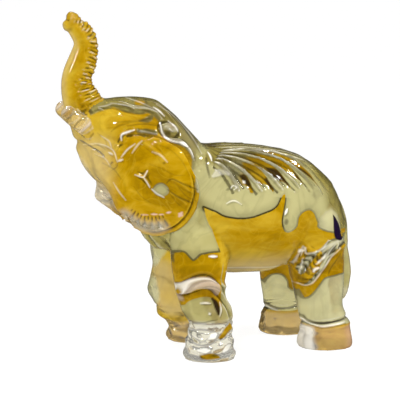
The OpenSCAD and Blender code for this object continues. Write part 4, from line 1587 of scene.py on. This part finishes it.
# Camera: where it stands, the point that it looks at and how far it sees, in metres
CAMERA_PLACE = (-0.3277, -0.7033, 0.1663)
CAMERA_AIM = (0.0, 0.00725, 0.05248)
CAMERA_REACH = 20
LAMP_AIM = (0, 0, 0.06)
LAMPS = [
    # Place, width, height and share of the key lamp's power
    ((-0.35, -0.45, 0.60), 0.08, 0.08, 1.0),
    ((0.45, -0.25, 0.55), 0.06, 0.06, 1.2),
    ((-0.10, 0.50, 0.60), 0.12, 0.12, 1.0),
    ((-0.80, 0.00, 0.45), 0.08, 0.12, 0.6),
    ((0.05, -0.20, 0.85), 0.06, 0.04, 0.8),
]
FLOOR_HALF = 4.0
# Brightness of the room for the light that falls on things, and as the glass mirrors it
ROOM_LIGHT, ROOM_MIRRORED = 0.3, 0.05
# How often light may pass, mirror or go on inside the glass
BOUNCES = {"max_bounces": 24, "transmission_bounces": 20, "glossy_bounces": 20, "transparent_max_bounces": 32}


def aim(thing, place, target):
    """Puts a lamp or a camera in its place, and points it at a target."""
    thing.location = place
    thing.rotation_mode = "QUATERNION"
    thing.rotation_quaternion = (Vector(target) - Vector(place)).to_track_quat("-Z", "Y")


def add_floor(scene, stage):
    """A wide flat floor at the height of the soles."""
    half = FLOOR_HALF
    mesh = bpy.data.meshes.new("floor")
    mesh.from_pydata([(-half, -half, 0), (half, -half, 0), (half, half, 0), (-half, half, 0)],
                     [], [(0, 1, 2, 3)])
    mesh.materials.append(floor_material(stage))
    floor = bpy.data.objects.new("floor", mesh)
    scene.collection.objects.link(floor)


def add_lamps(scene, stage):
    """Small soft lamps round the figure."""
    for index, (place, width, height, share) in enumerate(LAMPS):
        light = bpy.data.lights.new(f"lamp_{index}", "AREA")
        light.shape = "RECTANGLE"
        light.size, light.size_y = width, height
        light.energy = stage.key * share
        lamp = bpy.data.objects.new(f"lamp_{index}", light)
        aim(lamp, place, LAMP_AIM)
        scene.collection.objects.link(lamp)


def add_world(scene):
    """A white room that is dim where the glass mirrors it."""
    world = bpy.data.worlds.new("studio")
    world.use_nodes = True
    world.node_tree.nodes.clear()
    nodes = Socket(world.node_tree)
    up = nodes.node("SeparateXYZ", output="Z", Vector=nodes.node("TexCoord", output="Generated"))
    # Through the glass the room is white low down, dim higher up, and lighter again overhead
    behind = 1 - up.rise(0.1, 0.5) * 0.65 + up.rise(0.7, 0.95) * 0.45
    room = seen_rays(nodes, "Is Glossy Ray").mix_value(ROOM_LIGHT, ROOM_MIRRORED)
    room = seen_rays(nodes, "Is Transmission Ray").mix_value(room, behind)
    strength = seen_rays(nodes, "Is Camera Ray").mix_value(room, 1.0)
    output = world.node_tree.nodes.new("ShaderNodeOutputWorld")
    nodes.link(output.inputs["Surface"], nodes.node("Background", {}, Color=(1, 1, 1), Strength=strength))
    scene.world = world


def add_camera(scene, stage):
    """The camera of the main view."""
    camera = bpy.data.cameras.new("camera")
    camera.lens = stage.lens
    camera.clip_end = CAMERA_REACH
    view = bpy.data.objects.new("camera", camera)
    aim(view, CAMERA_PLACE, CAMERA_AIM)
    scene.collection.objects.link(view)
    scene.camera = view


class FIGURINE_OT_stage(bpy.types.Operator):
    """Sets up the floor, the soft light and the camera"""
    bl_idname = "figurine.stage"
    bl_label = "Stage"

    def execute(self, context):
        scene, stage = context.scene, context.scene.figurine_stage
        scene.view_settings.view_transform = "Standard"
        add_floor(scene, stage)
        add_lamps(scene, stage)
        add_world(scene)
        add_camera(scene, stage)
        scene.cycles.use_denoising = True
        for name, count in BOUNCES.items():
            setattr(scene.cycles, name, count)
        return {"FINISHED"}


class FIGURINE_PT_panel(bpy.types.Panel):
    """Lists the steps and the values of the figurine"""
    bl_label = "Glass elephant"
    bl_idname = "FIGURINE_PT_panel"
    bl_space_type = "VIEW_3D"
    bl_region_type = "UI"
    bl_category = "Figurine"

    def draw(self, context):
        for operator in OPERATORS:
            self.layout.operator(operator.bl_idname)
        for name, group in GROUPS.items():
            for value in group.__annotations__:
                self.layout.prop(getattr(context.scene, name), value)


OPERATORS = (FIGURINE_OT_stage, FIGURINE_OT_melt, FIGURINE_OT_torso, FIGURINE_OT_head, FIGURINE_OT_trunk,
             FIGURINE_OT_ears, FIGURINE_OT_tusks, FIGURINE_OT_legs, FIGURINE_OT_tail)
GROUPS = {"figurine_shape": FigurineShape, "figurine_glass": FigurineGlass, "figurine_stage": FigurineStage}


def register():
    """Adds the operators, the panel, and the groups of values that belong to a scene."""
    for group in (*GROUPS.values(), *OPERATORS, FIGURINE_PT_panel):
        bpy.utils.register_class(group)
    for name, group in GROUPS.items():
        setattr(bpy.types.Scene, name, bpy.props.PointerProperty(type=group))


def unregister():
    """Takes away what register adds."""
    for name in GROUPS:
        delattr(bpy.types.Scene, name)
    for group in (FIGURINE_PT_panel, *reversed(OPERATORS), *GROUPS.values()):
        bpy.utils.unregister_class(group)


def main():
    """Builds the stage and the figurine."""
    register()
    bpy.ops.figurine.stage()
    bpy.ops.figurine.melt()
    bpy.ops.figurine.torso()
    bpy.ops.figurine.head()
    bpy.ops.figurine.trunk()
    bpy.ops.figurine.ears()
    bpy.ops.figurine.tusks()
    bpy.ops.figurine.legs()
    bpy.ops.figurine.tail()


if __name__ == "__main__":
    main()
